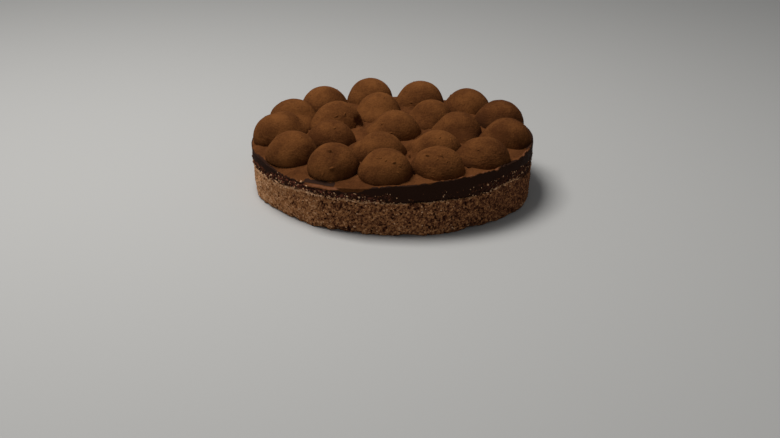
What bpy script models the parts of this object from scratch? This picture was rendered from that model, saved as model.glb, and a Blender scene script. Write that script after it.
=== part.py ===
"""A round chocolate truffle cake: a crumb base, a poured ganache layer and domed truffles on top.

The cake stands on Z = 0 with its middle over the origin, +Z up. The sizes below are in millimetres
and degrees; mesh coordinates are written in metres. Angles run anticlockwise from +X, seen from
above, and -90 degrees is the front of the cake.

Run with: blender --background --python part.py
"""

import math

import bmesh
import bpy
from mathutils import Vector, noise

MM = 0.001
GAP = 0.3  # clearance between two solids that rest on each other

# The round side, which the base and the ganache share
SPOKES = 108  # points round the cake
FOOT_RADIUS = 92.6
SIDE_FLARE = 0.078  # growth of the radius for each millimetre of height
SIDE_LEAN = 0.03  # lean to the left, towards -X, for each millimetre of height
BULGE_FADE = 30.0  # height at which the bulges of the foot have died away
# Bulges and hollows of the outline at the foot: angle, half width, depth
FOOT_BULGES = (
    (-158.0, 7.0, 1.6),
    (-140.0, 8.0, -1.2),
    (-117.0, 7.0, 1.5),
    (-97.0, 12.0, -0.9),
    (-77.0, 7.0, 0.8),
    (-26.0, 8.0, 2.2),
    (55.0, 9.0, 1.3),
    (118.0, 10.0, -1.2),
    (151.0, 8.0, 1.0),
)

# Crumb base
CRUMB_HEIGHT = 21.3
CRUMB_TILT = 3.0  # the crumb was pressed thicker on one side
CRUMB_TILT_ANGLE = -62.0
CRUMB_BUMP = (-38.0, 4.0, 2.4)
CRUMB_CENTRE_HEIGHT = 22.5
CRAG_SIZE = 7.0
CRAG_DEPTH = 0.8
FOOT_NOTCH_SIZE = 8.0
FOOT_NOTCH_DEPTH = 2.6
FOOT_NOTCH_HEIGHT = 1.8

# Ganache layer: the rim stands high on the right and sags at the front left
RIM_HEIGHT = 34.2
RIM_TILT = 3.4
RIM_TILT_ANGLE = -35.0
RIM_SAGS = ((-130.0, 30.0, -4.6), (-122.0, 12.0, -1.2))
RIM_WAVE = 0.6
RIM_WAVE_SIZE = 11.0
RIM_ROUND = 1.3
SHOULDER_RADIUS = 90.0  # the surface leaves the truffles' level here and runs to the rim
SHOULDER_HEIGHT = 34.0
SHOULDER_TILT = 1.6
SHOULDER_TILT_ANGLE = -20.0
SHOULDER_SAG = (-122.0, 28.0, -3.2)
CENTRE_HEIGHT = 36.0
SWELL_HEIGHT = 0.7
SWELL_SIZE = 17.0

# Truffles
TRUFFLE_SPOKES = 20
TRUFFLE_RINGS = 10
TRUFFLE_DEPTH = 6.0  # from the widest ring down to the foot
TRUFFLE_TUCK = 2.5  # a higher power tucks the foot in later and more sharply
TRUFFLE_UNEVEN = 0.28
TRUFFLE_UNEVEN_SCALE = 1.4
# Each truffle: angle and distance of its middle from the cake's middle, radius, height of its widest ring
OUTER_TRUFFLES = (
    (-174.3, 78.7, 15.8, 34.2),
    (-145.5, 78.4, 16.1, 34.4),
    (-119.2, 76.4, 16.4, 34.4),
    (-93.3, 75.4, 16.6, 34.4),
    (-67.0, 74.9, 16.1, 34.5),
    (-39.7, 76.9, 16.1, 34.6),
    (-8.7, 76.6, 16.8, 35.0),
    (18.3, 77.2, 16.8, 36.2),
    (46.9, 77.0, 16.9, 34.2),
    (74.8, 73.6, 17.1, 34.6),
    (103.0, 77.5, 16.3, 35.6),
    (131.4, 75.2, 16.9, 33.7),
    (157.2, 75.5, 16.1, 33.0),
)
INNER_TRUFFLES = (
    (-152.8, 46.1, 16.3, 34.6),
    (-101.0, 42.8, 16.1, 34.4),
    (-51.3, 46.1, 15.8, 34.6),
    (3.1, 43.9, 16.4, 34.6),
    (49.4, 40.3, 15.8, 34.4),
    (104.0, 43.8, 15.9, 34.8),
    (157.2, 41.8, 17.0, 35.2),
)
CENTRE_TRUFFLES = ((-8.7, 1.3, 16.7, 34.8),)


def clear_scene():
    """Removes every object that the file opened with."""
    for obj in list(bpy.data.objects):
        bpy.data.objects.remove(obj, do_unlink=True)


def make_material(name, colour, roughness):
    """A dull, non-metallic material of one colour, given as linear red, green and blue."""
    material = bpy.data.materials.new(name)
    material.use_nodes = True
    shader = material.node_tree.nodes["Principled BSDF"]
    shader.inputs["Base Color"].default_value = (*colour, 1.0)
    shader.inputs["Roughness"].default_value = roughness
    shader.inputs["Metallic"].default_value = 0.0
    material.diffuse_color = (*colour, 1.0)
    return material


def add_object(name, bm, material):
    """Writes a bmesh in millimetres as a smooth-shaded object in metres."""
    bmesh.ops.recalc_face_normals(bm, faces=bm.faces[:])
    bmesh.ops.scale(bm, vec=(MM, MM, MM), verts=bm.verts[:])
    mesh = bpy.data.meshes.new(name)
    bm.to_mesh(mesh)
    bm.free()
    mesh.shade_smooth()
    mesh.set_sharp_from_angle(angle=math.radians(50.0))
    mesh.materials.append(material)
    obj = bpy.data.objects.new(name, mesh)
    bpy.context.scene.collection.objects.link(obj)
    return obj


def hump(angle, centre, half_width, height):
    """A smooth rise or hollow round one angle of the cake."""
    away = (angle - centre + 180.0) % 360.0 - 180.0
    return height * math.exp(-0.5 * (away / half_width) ** 2)


def tilt(angle, towards, height):
    """A level that is highest towards one angle and lowest opposite it."""
    return height * math.cos(math.radians(angle - towards))


def smooth_step(value, low, high):
    """0 below low, 1 above high, with a smooth run between."""
    part = min(max((value - low) / (high - low), 0.0), 1.0)
    return part * part * (3.0 - 2.0 * part)


def on_circle(angle, radius, height):
    """The point at an angle and a distance from the cake's axis."""
    turn = math.radians(angle)
    return Vector((radius * math.cos(turn), radius * math.sin(turn), height))


def side_radius(angle, height):
    """Radius of the cake's side: a light flare and lean, and bulges that fade upwards."""
    fade = max(0.0, 1.0 - height / BULGE_FADE)
    bulges = sum(hump(angle, *bulge) for bulge in FOOT_BULGES)
    return FOOT_RADIUS + SIDE_FLARE * height + tilt(angle, 180.0, SIDE_LEAN * height) + fade * bulges


def crumb_height(angle):
    """Top of the crumb base where it shows at the side."""
    level = CRUMB_HEIGHT + tilt(angle, CRUMB_TILT_ANGLE, CRUMB_TILT) + hump(angle, *CRUMB_BUMP)
    return level + 0.5 * noise.noise(on_circle(angle, 18.0, 3.0))


def rim_height(angle):
    """Top edge of the ganache layer."""
    sag = sum(hump(angle, *one) for one in RIM_SAGS)
    wave = RIM_WAVE * noise.noise(on_circle(angle, FOOT_RADIUS / RIM_WAVE_SIZE, 7.0))
    return RIM_HEIGHT + tilt(angle, RIM_TILT_ANGLE, RIM_TILT) + sag + wave


def surface_height(angle, radius):
    """Top of the ganache: a shallow dish from the middle to the shoulder, then a run to the rim."""
    shoulder = SHOULDER_HEIGHT + tilt(angle, SHOULDER_TILT_ANGLE, SHOULDER_TILT)
    shoulder += hump(angle, *SHOULDER_SAG)
    inner = CENTRE_HEIGHT + (shoulder - CENTRE_HEIGHT) * min(radius / SHOULDER_RADIUS, 1.0) ** 2
    run = smooth_step(radius, SHOULDER_RADIUS, side_radius(angle, RIM_HEIGHT))
    swell = SWELL_HEIGHT * noise.noise(on_circle(angle, radius / SWELL_SIZE, 0.0))
    return inner + (rim_height(angle) - inner) * run + swell * (1.0 - run)


def crag(angle, height):
    """Depth of the coarse crumb relief at a point of the side."""
    spot = on_circle(angle, FOOT_RADIUS, height) / CRAG_SIZE
    return CRAG_DEPTH * noise.noise(spot)


def foot_notch(angle):
    """How far the ragged foot is eaten back: nothing in most places, deep where crumbs broke off."""
    bite = noise.noise(on_circle(angle, FOOT_RADIUS / FOOT_NOTCH_SIZE, 5.0))
    return FOOT_NOTCH_DEPTH * smooth_step(bite, -0.1, 0.5)


def vert_angle(vert):
    """The angle of a vertex round the cake's axis."""
    return math.degrees(math.atan2(vert.co.y, vert.co.x))


def halve(bm, verts):
    """Merges the vertices of a ring two by two, and returns the edges of the ring that is left."""
    ring = sorted(verts, key=vert_angle)
    for first, second in zip(ring[0::2], ring[1::2]):
        bmesh.ops.pointmerge(bm, verts=[first, second], merge_co=first.co)
    left = {vert for vert in ring if vert.is_valid}
    return [edge for edge in bm.edges if set(edge.verts) <= left]


def turned_solid(levels):
    """A closed bmesh that grows from ring to ring.

    Each level is a function that gives the point at an angle. The first and last rings are closed
    by a fan to the middle, at the mean height of the ring. A level of None halves the ring's points.
    """
    bm = bmesh.new()
    ring = bmesh.ops.create_circle(bm, segments=SPOKES, radius=1.0)["verts"]
    edges = bm.edges[:]
    first_edges = edges
    for index, level in enumerate(levels):
        if level is None:
            edges = halve(bm, ring)
            ring = list({vert for edge in edges for vert in edge.verts})
            continue
        if index > 0:
            grown = bmesh.ops.extrude_edge_only(bm, edges=edges)["geom"]
            ring = [item for item in grown if isinstance(item, bmesh.types.BMVert)]
            fresh = set(ring)
            edges = [edge for vert in ring for edge in vert.link_edges if set(edge.verts) <= fresh]
            edges = list(set(edges))
        for vert in ring:
            vert.co = level(vert_angle(vert))
    for open_edges in (first_edges, edges):
        grown = bmesh.ops.extrude_edge_only(bm, edges=open_edges)["geom"]
        tips = [item for item in grown if isinstance(item, bmesh.types.BMVert)]
        height = sum(vert.co.z for vert in tips) / len(tips)
        bmesh.ops.pointmerge(bm, verts=tips, merge_co=(0.0, 0.0, height))
    return bm


def seam_height(angle, radius):
    """Where the ganache lies on the crumb: level in the middle, uneven at the side."""
    part = radius / side_radius(angle, CRUMB_HEIGHT)
    return CRUMB_CENTRE_HEIGHT + (crumb_height(angle) - CRUMB_CENTRE_HEIGHT) * part**2


def crumb_side(part):
    """A ring of the crumb's side, at a share of its height."""

    def level(angle):
        height = part * crumb_height(angle)
        return on_circle(angle, side_radius(angle, height) + crag(angle, height), height)

    return level


def make_crumb_base(material):
    """The pressed crumb base, with a ragged foot, a craggy side and a flat underside."""
    levels = [
        lambda angle: on_circle(angle, 60.0, 0.0),
        lambda angle: on_circle(angle, side_radius(angle, 0.0) - 0.5 - foot_notch(angle), 0.0),
        lambda angle: on_circle(angle, side_radius(angle, 0.0) - 0.4 * foot_notch(angle), FOOT_NOTCH_HEIGHT),
    ]
    levels += [crumb_side(part) for part in (0.24, 0.42, 0.6, 0.78, 0.93)]
    levels += [
        lambda angle: on_circle(angle, side_radius(angle, CRUMB_HEIGHT) - 0.6, crumb_height(angle)),
        lambda angle: on_circle(angle, 60.0, seam_height(angle, 60.0)),
    ]
    return add_object("crumb_base", turned_solid(levels), material)


def ganache_side(part, inset):
    """A ring of the ganache's side, at a share of the way from the crumb to the rim."""

    def level(angle):
        low = crumb_height(angle) + GAP
        height = low + part * (rim_height(angle) - low)
        wave = 0.35 * noise.noise(on_circle(angle, 6.0, height / 6.0))
        return on_circle(angle, side_radius(angle, height) + wave - inset, height)

    return level


def surface_ring(radius):
    """A ring of the ganache's top."""
    return lambda angle: on_circle(angle, radius, surface_height(angle, radius))


def make_ganache_layer(material):
    """The ganache, from the crumb's top up to its rim and its shallow dished surface."""
    levels = [
        lambda angle: on_circle(angle, 60.0, seam_height(angle, 60.0) + GAP),
        ganache_side(0.0, 0.6),
        ganache_side(0.12, 0.0),
        ganache_side(0.5, 0.0),
        ganache_side(0.9, 0.0),
        ganache_side(1.0, RIM_ROUND),
        ganache_side(1.0, 2.0 * RIM_ROUND),
    ]
    levels += [surface_ring(radius) for radius in (90.0, 85.0, 79.0, 72.5, 65.0, 56.5, 48.0)]
    levels += [None]
    levels += [surface_ring(radius) for radius in (38.0, 28.0)]
    levels += [None]
    levels += [surface_ring(radius) for radius in (19.0, 10.0)]
    return add_object("ganache_layer", turned_solid(levels), material)


def make_clearance(ganache):
    """A cutter: the ganache raised by the gap, which trims each truffle's foot to the surface."""
    cutter = ganache.copy()
    cutter.name = "foot_cutter"
    cutter.location.z = GAP * MM
    cutter.hide_render = True
    cutter.display_type = "WIRE"
    bpy.context.scene.collection.objects.link(cutter)
    return cutter


def truffle_point(direction, radius, seed):
    """Where a truffle's skin lies in a direction from the middle of its widest ring."""
    uneven = TRUFFLE_UNEVEN * noise.noise(direction * TRUFFLE_UNEVEN_SCALE + Vector((seed, 0.0, 0.0)))
    reach = radius + uneven
    if direction.z >= 0.0:
        return direction * reach
    flat = math.hypot(direction.x, direction.y)
    tuck = 2.0 / TRUFFLE_TUCK
    spread = reach * flat**tuck / max(flat, 1e-6)
    return Vector((direction.x * spread, direction.y * spread, -TRUFFLE_DEPTH * abs(direction.z) ** tuck))


def make_truffle(name, placement, seed, cutter, material):
    """One domed truffle, trimmed at its foot to sit on the ganache."""
    angle, distance, radius, height = placement
    centre = on_circle(angle, distance, height)
    bm = bmesh.new()
    bmesh.ops.create_uvsphere(bm, u_segments=TRUFFLE_SPOKES, v_segments=TRUFFLE_RINGS, radius=1.0)
    for vert in bm.verts:
        vert.co = centre + truffle_point(vert.co.normalized(), radius, seed)
    truffle = add_object(name, bm, material)
    trim = truffle.modifiers.new("foot", "BOOLEAN")
    trim.operation = "DIFFERENCE"
    trim.object = cutter
    return truffle


def make_truffles(cutter, material):
    """The outer ring, the inner ring and the truffle in the middle."""
    rings = (("outer", OUTER_TRUFFLES), ("inner", INNER_TRUFFLES), ("centre", CENTRE_TRUFFLES))
    seed = 0.0
    for ring, placements in rings:
        for number, placement in enumerate(placements, start=1):
            seed += 10.0
            make_truffle(f"truffle_{ring}_{number:02d}", placement, seed, cutter, material)


def main():
    """Builds the cake from the base upwards."""
    clear_scene()
    crumb = make_material("baked_crumb", (0.105, 0.048, 0.021), 0.95)
    ganache = make_material("set_ganache", (0.014, 0.006, 0.004), 0.45)
    cocoa = make_material("cocoa_dust", (0.098, 0.036, 0.012), 0.95)
    make_crumb_base(crumb)
    layer = make_ganache_layer(ganache)
    make_truffles(make_clearance(layer), cocoa)


main()
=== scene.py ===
"""The looks of a round chocolate truffle cake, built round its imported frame.

Sizes are in millimetres and degrees, and every mesh is written in metres at the end. Angles run
anticlockwise from +X, seen from above, and -90 degrees is the front of the cake. The shapes repeat the
formulas of the solids, so each piece lies where its node is, and add the relief that is too fine for
a solid: packed grains, chips in the cocoa, torn edges and loose crumbs.
"""

import logging
import math
import random
from collections.abc import Callable, Iterable
from dataclasses import dataclass, field
from enum import Enum

import bmesh
import bpy
import numpy as np
from mathutils import Euler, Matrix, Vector, noise


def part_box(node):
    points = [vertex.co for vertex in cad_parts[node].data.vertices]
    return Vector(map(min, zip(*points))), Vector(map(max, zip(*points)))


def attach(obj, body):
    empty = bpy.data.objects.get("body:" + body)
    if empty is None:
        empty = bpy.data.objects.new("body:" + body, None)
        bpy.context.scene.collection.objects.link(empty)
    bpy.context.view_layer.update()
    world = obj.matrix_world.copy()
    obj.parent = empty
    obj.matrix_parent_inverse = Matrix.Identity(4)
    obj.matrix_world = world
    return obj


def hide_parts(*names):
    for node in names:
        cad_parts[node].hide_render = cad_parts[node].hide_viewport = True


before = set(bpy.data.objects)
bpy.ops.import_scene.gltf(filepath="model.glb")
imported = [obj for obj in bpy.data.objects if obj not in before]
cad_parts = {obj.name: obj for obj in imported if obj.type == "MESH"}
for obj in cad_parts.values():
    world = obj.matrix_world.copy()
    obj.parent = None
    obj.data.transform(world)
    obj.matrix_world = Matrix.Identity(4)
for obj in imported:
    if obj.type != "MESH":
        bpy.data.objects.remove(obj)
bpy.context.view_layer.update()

MM = 0.001
GRAIN_REACH = 0.8  # how far a packed grain's dome reaches from its middle, in cells
Colour = tuple[float, float, float]
Level = Callable[[float], Vector]
log = logging.getLogger("cake")


class Slot(Enum):
    """The record's material slots."""

    CRUMB = "crumb"
    GANACHE = "ganache"
    COCOA = "cocoa"


class Pattern(Enum):
    """The noise patterns that run round the cake, one for each kind of unevenness."""

    SOAK = 1.0
    TEAR = 2.0
    CRUMB_TOP = 3.0
    FRINGE = 4.0
    NOTCH = 5.0
    EDGE = 6.0
    RIM = 7.0
    LEDGE = 8.0
    SEAM = 9.0
    RAGGED = 11.0
    BARE = 12.0
    LIP = 16.0
    HEAP = 20.0


# ---------------------------------------------------------------- shape of the cake


def on_circle(angle: float, radius: float, height: float) -> Vector:
    """Returns the point at an angle and a distance from the cake's axis."""
    turn = math.radians(angle)
    return Vector((radius * math.cos(turn), radius * math.sin(turn), height))


def direction(azimuth: float, elevation: float) -> Vector:
    """Returns the unit direction at an angle round the axis and an angle over level."""
    rise = math.radians(elevation)
    return on_circle(azimuth, math.cos(rise), math.sin(rise))


def angle_of(place: Vector) -> float:
    """Returns the angle of a point round the cake's axis."""
    return math.degrees(math.atan2(place.y, place.x))


def away_from(angle: float, centre: float) -> float:
    """Returns how far an angle lies from another, between -180 and 180."""
    return (angle - centre + 180.0) % 360.0 - 180.0


def tilt(angle: float, towards: float, height: float) -> float:
    """Returns a level that is highest towards one angle and lowest opposite it."""
    return height * math.cos(math.radians(angle - towards))


def smooth_step(value: float, low: float, high: float) -> float:
    """Returns 0 below low, 1 above high, with a smooth run between."""
    part = min(max((value - low) / (high - low), 0.0), 1.0)
    return part * part * (3.0 - 2.0 * part)


def around(angle: float, pace: float, pattern: Pattern, lift: float = 0.0) -> float:
    """Returns a noise that runs round the cake, faster with a larger pace, and changes with lift."""
    return noise.noise(on_circle(angle, pace, pattern.value + lift))


def packed_grain(place: Vector, size: float, key: float) -> tuple[float, float]:
    """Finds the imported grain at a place.

    Args:
        place: the place.
        size: how wide the grains are.
        key: mixes up the grains' chances.

    Returns:
        How far the grain's dome rises there, and the grain's own chance, both from 0 to 1.
    """
    near, seeds = noise.voronoi(place / size)
    dome = 1.0 - min(near[0] / GRAIN_REACH, 1.0) ** 2
    return dome, 0.5 + 0.5 * noise.cell(seeds[0] * key)


@dataclass(frozen=True)
class Hump:
    """A smooth rise or hollow round one angle of the cake."""

    centre: float
    half_width: float
    height: float

    def at(self, angle: float) -> float:
        """Returns the rise at an angle."""
        return self.height * math.exp(-0.5 * (away_from(angle, self.centre) / self.half_width) ** 2)


@dataclass(frozen=True)
class Stretch:
    """A stretch of the side, as a mask that fades at both ends."""

    middle: float
    half_width: float
    fade: float = 5.0

    def at(self, angle: float) -> float:
        """Returns 1 inside the stretch and 0 away from it."""
        return smooth_step(self.half_width - abs(away_from(angle, self.middle)), -self.fade, self.fade)


def total(parts: Iterable[Hump | Stretch], angle: float) -> float:
    """Returns what several humps or stretches give together at an angle."""
    return sum(part.at(angle) for part in parts)


@dataclass(frozen=True)
class CakeShape:
    """The formulas that the crumb base and the ganache layer share with their solids."""

    foot_radius: float = 92.6
    side_flare: float = 0.078
    side_lean: float = 0.03
    bulge_fade: float = 30.0
    foot_bulges: tuple[Hump, ...] = (
        Hump(-158.0, 7.0, 1.6),
        Hump(-140.0, 8.0, -1.2),
        Hump(-117.0, 7.0, 1.5),
        Hump(-97.0, 12.0, -0.9),
        Hump(-77.0, 7.0, 0.8),
        Hump(-26.0, 8.0, 2.2),
        Hump(55.0, 9.0, 1.3),
        Hump(118.0, 10.0, -1.2),
        Hump(151.0, 8.0, 1.0),
    )
    crumb_level: float = 20.0
    crumb_tilt: float = 3.0
    crumb_tilt_angle: float = -62.0
    crumb_bumps: tuple[Hump, ...] = (
        Hump(-22.0, 8.0, -1.5),
        Hump(-35.0, 5.5, 1.5),
        Hump(-58.0, 6.0, -0.6),
        Hump(-90.0, 16.0, -0.5),
        Hump(-120.0, 11.0, 1.1),
        Hump(-143.0, 6.0, -0.7),
        Hump(-175.0, 12.0, -0.6),
    )
    crumb_wave: float = 0.5
    crumb_wave_pace: float = 18.0
    crumb_centre: float = 22.5
    crag_size: float = 7.0
    crag_depth: float = 0.8
    notch_size: float = 8.0
    notch_depth: float = 2.6
    notch_run: tuple[float, float] = (-0.1, 0.5)
    rim_level: float = 34.2
    rim_tilt: float = 3.4
    rim_tilt_angle: float = -35.0
    rim_sags: tuple[Hump, ...] = (
        Hump(-130.0, 30.0, -4.6),
        Hump(-122.0, 12.0, -0.4),
        Hump(-151.0, 8.0, 2.2),
    )
    rim_wave: float = 0.6
    rim_wave_size: float = 11.0
    shoulder_radius: float = 90.0
    shoulder_level: float = 34.0
    shoulder_tilt: float = 1.6
    shoulder_tilt_angle: float = -20.0
    shoulder_sag: Hump = Hump(-122.0, 28.0, -1.7)
    centre_level: float = 36.0
    swell_height: float = 0.7
    swell_size: float = 17.0
    gap: float = 0.3

    def side_radius(self, angle: float, height: float) -> float:
        """Works out the side: a light flare and lean, and bulges that fade upwards.

        Args:
            angle: angle of the spot.
            height: its height.

        Returns:
            The radius of the side.
        """
        fade = max(0.0, 1.0 - height / self.bulge_fade)
        bulges = total(self.foot_bulges, angle) if fade else 0.0
        lean = tilt(angle, 180.0, self.side_lean * height)
        return self.foot_radius + self.side_flare * height + lean + fade * bulges

    def on_side(self, angle: float, height: float, inset: float = 0.0) -> Vector:
        """Returns the point at a height of the plain side, or so far inside it."""
        return on_circle(angle, self.side_radius(angle, height) - inset, height)

    def crag(self, angle: float, height: float) -> float:
        """Returns the depth of the coarse relief of the crumb."""
        return self.crag_depth * noise.noise(on_circle(angle, self.foot_radius, height) / self.crag_size)

    def notch(self, angle: float) -> float:
        """Returns how far the ragged foot is eaten back."""
        bite = around(angle, self.foot_radius / self.notch_size, Pattern.NOTCH)
        return self.notch_depth * smooth_step(bite, *self.notch_run)

    def crumb_height(self, angle: float) -> float:
        """Returns the top of the crumb base at the side."""
        level = self.crumb_level + tilt(angle, self.crumb_tilt_angle, self.crumb_tilt)
        return level + total(self.crumb_bumps, angle) + self.crumb_wave * self.crumb_ripple(angle)

    def crumb_ripple(self, angle: float) -> float:
        """Returns the small unevenness of the crumb's top."""
        return around(angle, self.crumb_wave_pace, Pattern.CRUMB_TOP)

    def seam_height(self, angle: float, radius: float) -> float:
        """Returns where the ganache lies on the crumb."""
        part = radius / self.side_radius(angle, self.crumb_level)
        return self.crumb_centre + (self.crumb_height(angle) - self.crumb_centre) * part**2

    def rim_height(self, angle: float) -> float:
        """Works out the top edge of the ganache layer.

        Args:
            angle: angle of the spot.

        Returns:
            The height of the edge.
        """
        level = self.rim_level + tilt(angle, self.rim_tilt_angle, self.rim_tilt)
        wave = self.rim_wave * around(angle, self.foot_radius / self.rim_wave_size, Pattern.RIM)
        return level + total(self.rim_sags, angle) + wave

    def surface_height(self, angle: float, radius: float) -> float:
        """Works out the top of the ganache: a shallow dish up to the shoulder, then a run to the rim.

        Args:
            angle: angle of the spot.
            radius: how far it lies from the axis.

        Returns:
            The height of the plain top.
        """
        shoulder = self.shoulder_level + tilt(angle, self.shoulder_tilt_angle, self.shoulder_tilt)
        shoulder += self.shoulder_sag.at(angle)
        rise = (shoulder - self.centre_level) * min(radius / self.shoulder_radius, 1.0) ** 2
        inner = self.centre_level + rise
        run = smooth_step(radius, self.shoulder_radius, self.side_radius(angle, self.rim_level))
        swell = self.swell_height * noise.noise(on_circle(angle, radius / self.swell_size, 0.0))
        return inner + (self.rim_height(angle) - inner) * run + swell * (1.0 - run)


SHAPE = CakeShape()


# ---------------------------------------------------------------- finishes


@dataclass
class NodeBench:
    """Adds shader nodes to a tree and links them as they are added."""

    tree: bpy.types.NodeTree

    def feed(self, socket: bpy.types.NodeSocket, value: object) -> None:
        """Links an input to an output socket, or sets its own value.

        Args:
            socket: the input.
            value: the output socket or the value.
        """
        if isinstance(value, bpy.types.NodeSocket):
            self.tree.links.new(value, socket)
        else:
            socket.default_value = value

    def add(self, kind: str, inputs: dict | None = None, **settings: object) -> bpy.types.Node:
        """Adds a node.

        Args:
            kind: the node's type, without "ShaderNode".
            inputs: a value or an output socket for each input, by name or number.
            settings: the node's own properties.

        Returns:
            The new node.
        """
        node = self.tree.nodes.new(f"ShaderNode{kind}")
        for name, value in settings.items():
            setattr(node, name, value)
        for name, value in (inputs or {}).items():
            self.feed(node.inputs[name], value)
        return node

    def spread(self, value: bpy.types.NodeSocket, low: float, high: float) -> bpy.types.NodeSocket:
        """Stretches a value so that low becomes 0 and high becomes 1, and returns the result."""
        inputs = {"Value": value, "From Min": low, "From Max": high}
        return self.add("MapRange", inputs, clamp=True).outputs["Result"]

    def lumps(
        self, place: bpy.types.NodeSocket, size: float, detail: float, low: float, high: float
    ) -> bpy.types.NodeSocket:
        """Adds a noise of soft lumps.

        Args:
            place: the coordinates that it reads.
            size: how wide the lumps are, in millimetres.
            detail: how finely they are broken up.
            low: the noise that becomes 0.
            high: the noise that becomes 1.

        Returns:
            The stretched noise.
        """
        inputs = {"Vector": place, "Scale": 0.5 / (size * MM), "Detail": detail, "Roughness": 0.55}
        return self.spread(self.add("TexNoise", inputs).outputs["Fac"], low, high)

    def math(self, operation: str, first: object, second: object) -> bpy.types.NodeSocket:
        """Adds a Math node and returns its value."""
        return self.add("Math", {0: first, 1: second}, operation=operation).outputs["Value"]

    def weigh(self, *parts: tuple[bpy.types.NodeSocket, float]) -> bpy.types.NodeSocket:
        """Adds up values by their weights.

        Args:
            parts: pairs of a value and its weight.

        Returns:
            The sum.
        """
        scaled = [self.math("MULTIPLY", value, weight) for value, weight in parts]
        while len(scaled) > 1:
            scaled[:2] = [self.math("ADD", *scaled[:2])]
        return scaled[0]

    def mix(self, share: object, first: object, second: object) -> bpy.types.NodeSocket:
        """Mixes two colours.

        Args:
            share: share of the second colour.
            first: a colour or an output socket.
            second: the same.

        Returns:
            The mixed colour.
        """
        node = self.add("Mix", {"Factor": share}, data_type="RGBA")
        sockets = (socket for socket in node.inputs if socket.type == "RGBA")
        for value, socket in zip((first, second), sockets):
            self.feed(socket, (*value, 1.0) if isinstance(value, tuple) else value)
        return next(socket for socket in node.outputs if socket.type == "RGBA")


def new_group(name: str, inputs: dict[str, str], outputs: dict[str, str]) -> tuple:
    """Starts a node group.

    Args:
        name: the group's name.
        inputs: socket type for each input name, such as "Float".
        outputs: the same for the outputs.

    Returns:
        The group, a bench to fill it with, its input node and its output node.
    """
    group = bpy.data.node_groups.new(name, "ShaderNodeTree")
    for sockets, way in ((inputs, "INPUT"), (outputs, "OUTPUT")):
        for socket, kind in sockets.items():
            group.interface.new_socket(socket, in_out=way, socket_type=f"NodeSocket{kind}")
    source = group.nodes.new("NodeGroupInput")
    result = group.nodes.new("NodeGroupOutput")
    return group, NodeBench(group), source, result


def powder_group() -> bpy.types.NodeTree:
    """Makes cocoa powder: soft patches of tone, fine specks, and a grain for the bump.

    Returns:
        The node group.
    """
    inputs = {"Vector": "Vector", "Thick": "Color", "Thin": "Color", "Bare": "Float"}
    group, bench, source, result = new_group("powder", inputs, {"Colour": "Color", "Grain": "Float"})
    place = source.outputs["Vector"]
    patches = bench.lumps(place, size=8.0, detail=4.0, low=0.38, high=0.62)
    clumps = bench.lumps(place, size=1.6, detail=3.0, low=0.34, high=0.66)
    specks = bench.lumps(place, size=0.55, detail=1.0, low=0.36, high=0.64)
    fine = bench.lumps(place, size=0.6, detail=2.0, low=0.3, high=0.7)
    cover = bench.weigh((patches, 0.65), (clumps, 0.26), (specks, 0.30))
    share = bench.math("SUBTRACT", cover, source.outputs["Bare"])
    share.node.use_clamp = True
    bench.feed(result.inputs["Colour"], bench.mix(share, source.outputs["Thin"], source.outputs["Thick"]))
    bench.feed(result.inputs["Grain"], bench.weigh((fine, 0.6), (clumps, 0.4)))
    return group


def crumble_group() -> bpy.types.NodeTree:
    """Makes packed crumb: a cell pattern of small grains, as a tone and as a height.

    Returns:
        The node group.
    """
    inputs = {"Vector": "Vector", "Size": "Float"}
    group, bench, source, result = new_group("crumble", inputs, {"Tone": "Float", "Height": "Float"})
    scale = bench.math("DIVIDE", 1.0 / MM, source.outputs["Size"])
    cells = bench.add("TexVoronoi", {"Vector": source.outputs["Vector"], "Scale": scale})
    tone = bench.add("SeparateColor", {"Color": cells.outputs["Color"]}).outputs[0]
    bench.feed(result.inputs["Tone"], tone)
    bench.feed(result.inputs["Height"], bench.spread(cells.outputs["Distance"], GRAIN_REACH, 0.0))
    return group


@dataclass(frozen=True)
class Effects:
    """The node groups that the finishes share, each built once."""

    powder: bpy.types.NodeTree = field(default_factory=powder_group)
    crumble: bpy.types.NodeTree = field(default_factory=crumble_group)


@dataclass(frozen=True)
class Finish:
    """What every finish has: a name, how dull it is and how deep its bump goes."""

    name: str
    roughness: float = 0.9
    specular: float = 0.15
    bump_depth: float = 0.12

    def start(self) -> tuple[bpy.types.Material, NodeBench, bpy.types.Node, bpy.types.NodeSocket]:
        """Starts the material.

        Returns:
            The material, its bench, its shader and the object's own coordinates.
        """
        material = bpy.data.materials.new(self.name)
        material.use_nodes = True
        bench = NodeBench(material.node_tree)
        shader = material.node_tree.nodes["Principled BSDF"]
        shader.inputs["Roughness"].default_value = self.roughness
        shader.inputs["Specular IOR Level"].default_value = self.specular
        return material, bench, shader, bench.add("TexCoord").outputs["Object"]

    def carried(self, bench: NodeBench, name: str) -> bpy.types.NodeSocket:
        """Returns the value that the mesh carries under a name."""
        return bench.add("Attribute", attribute_name=name).outputs["Fac"]

    def add_bump(self, bench: NodeBench, shader: bpy.types.Node, height: bpy.types.NodeSocket) -> None:
        """Feeds a height to the shader's normal through a Bump node."""
        bump = bench.add("Bump", {"Height": height, "Distance": self.bump_depth * MM, "Strength": 1.0})
        bench.feed(shader.inputs["Normal"], bump.outputs["Normal"])


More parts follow.
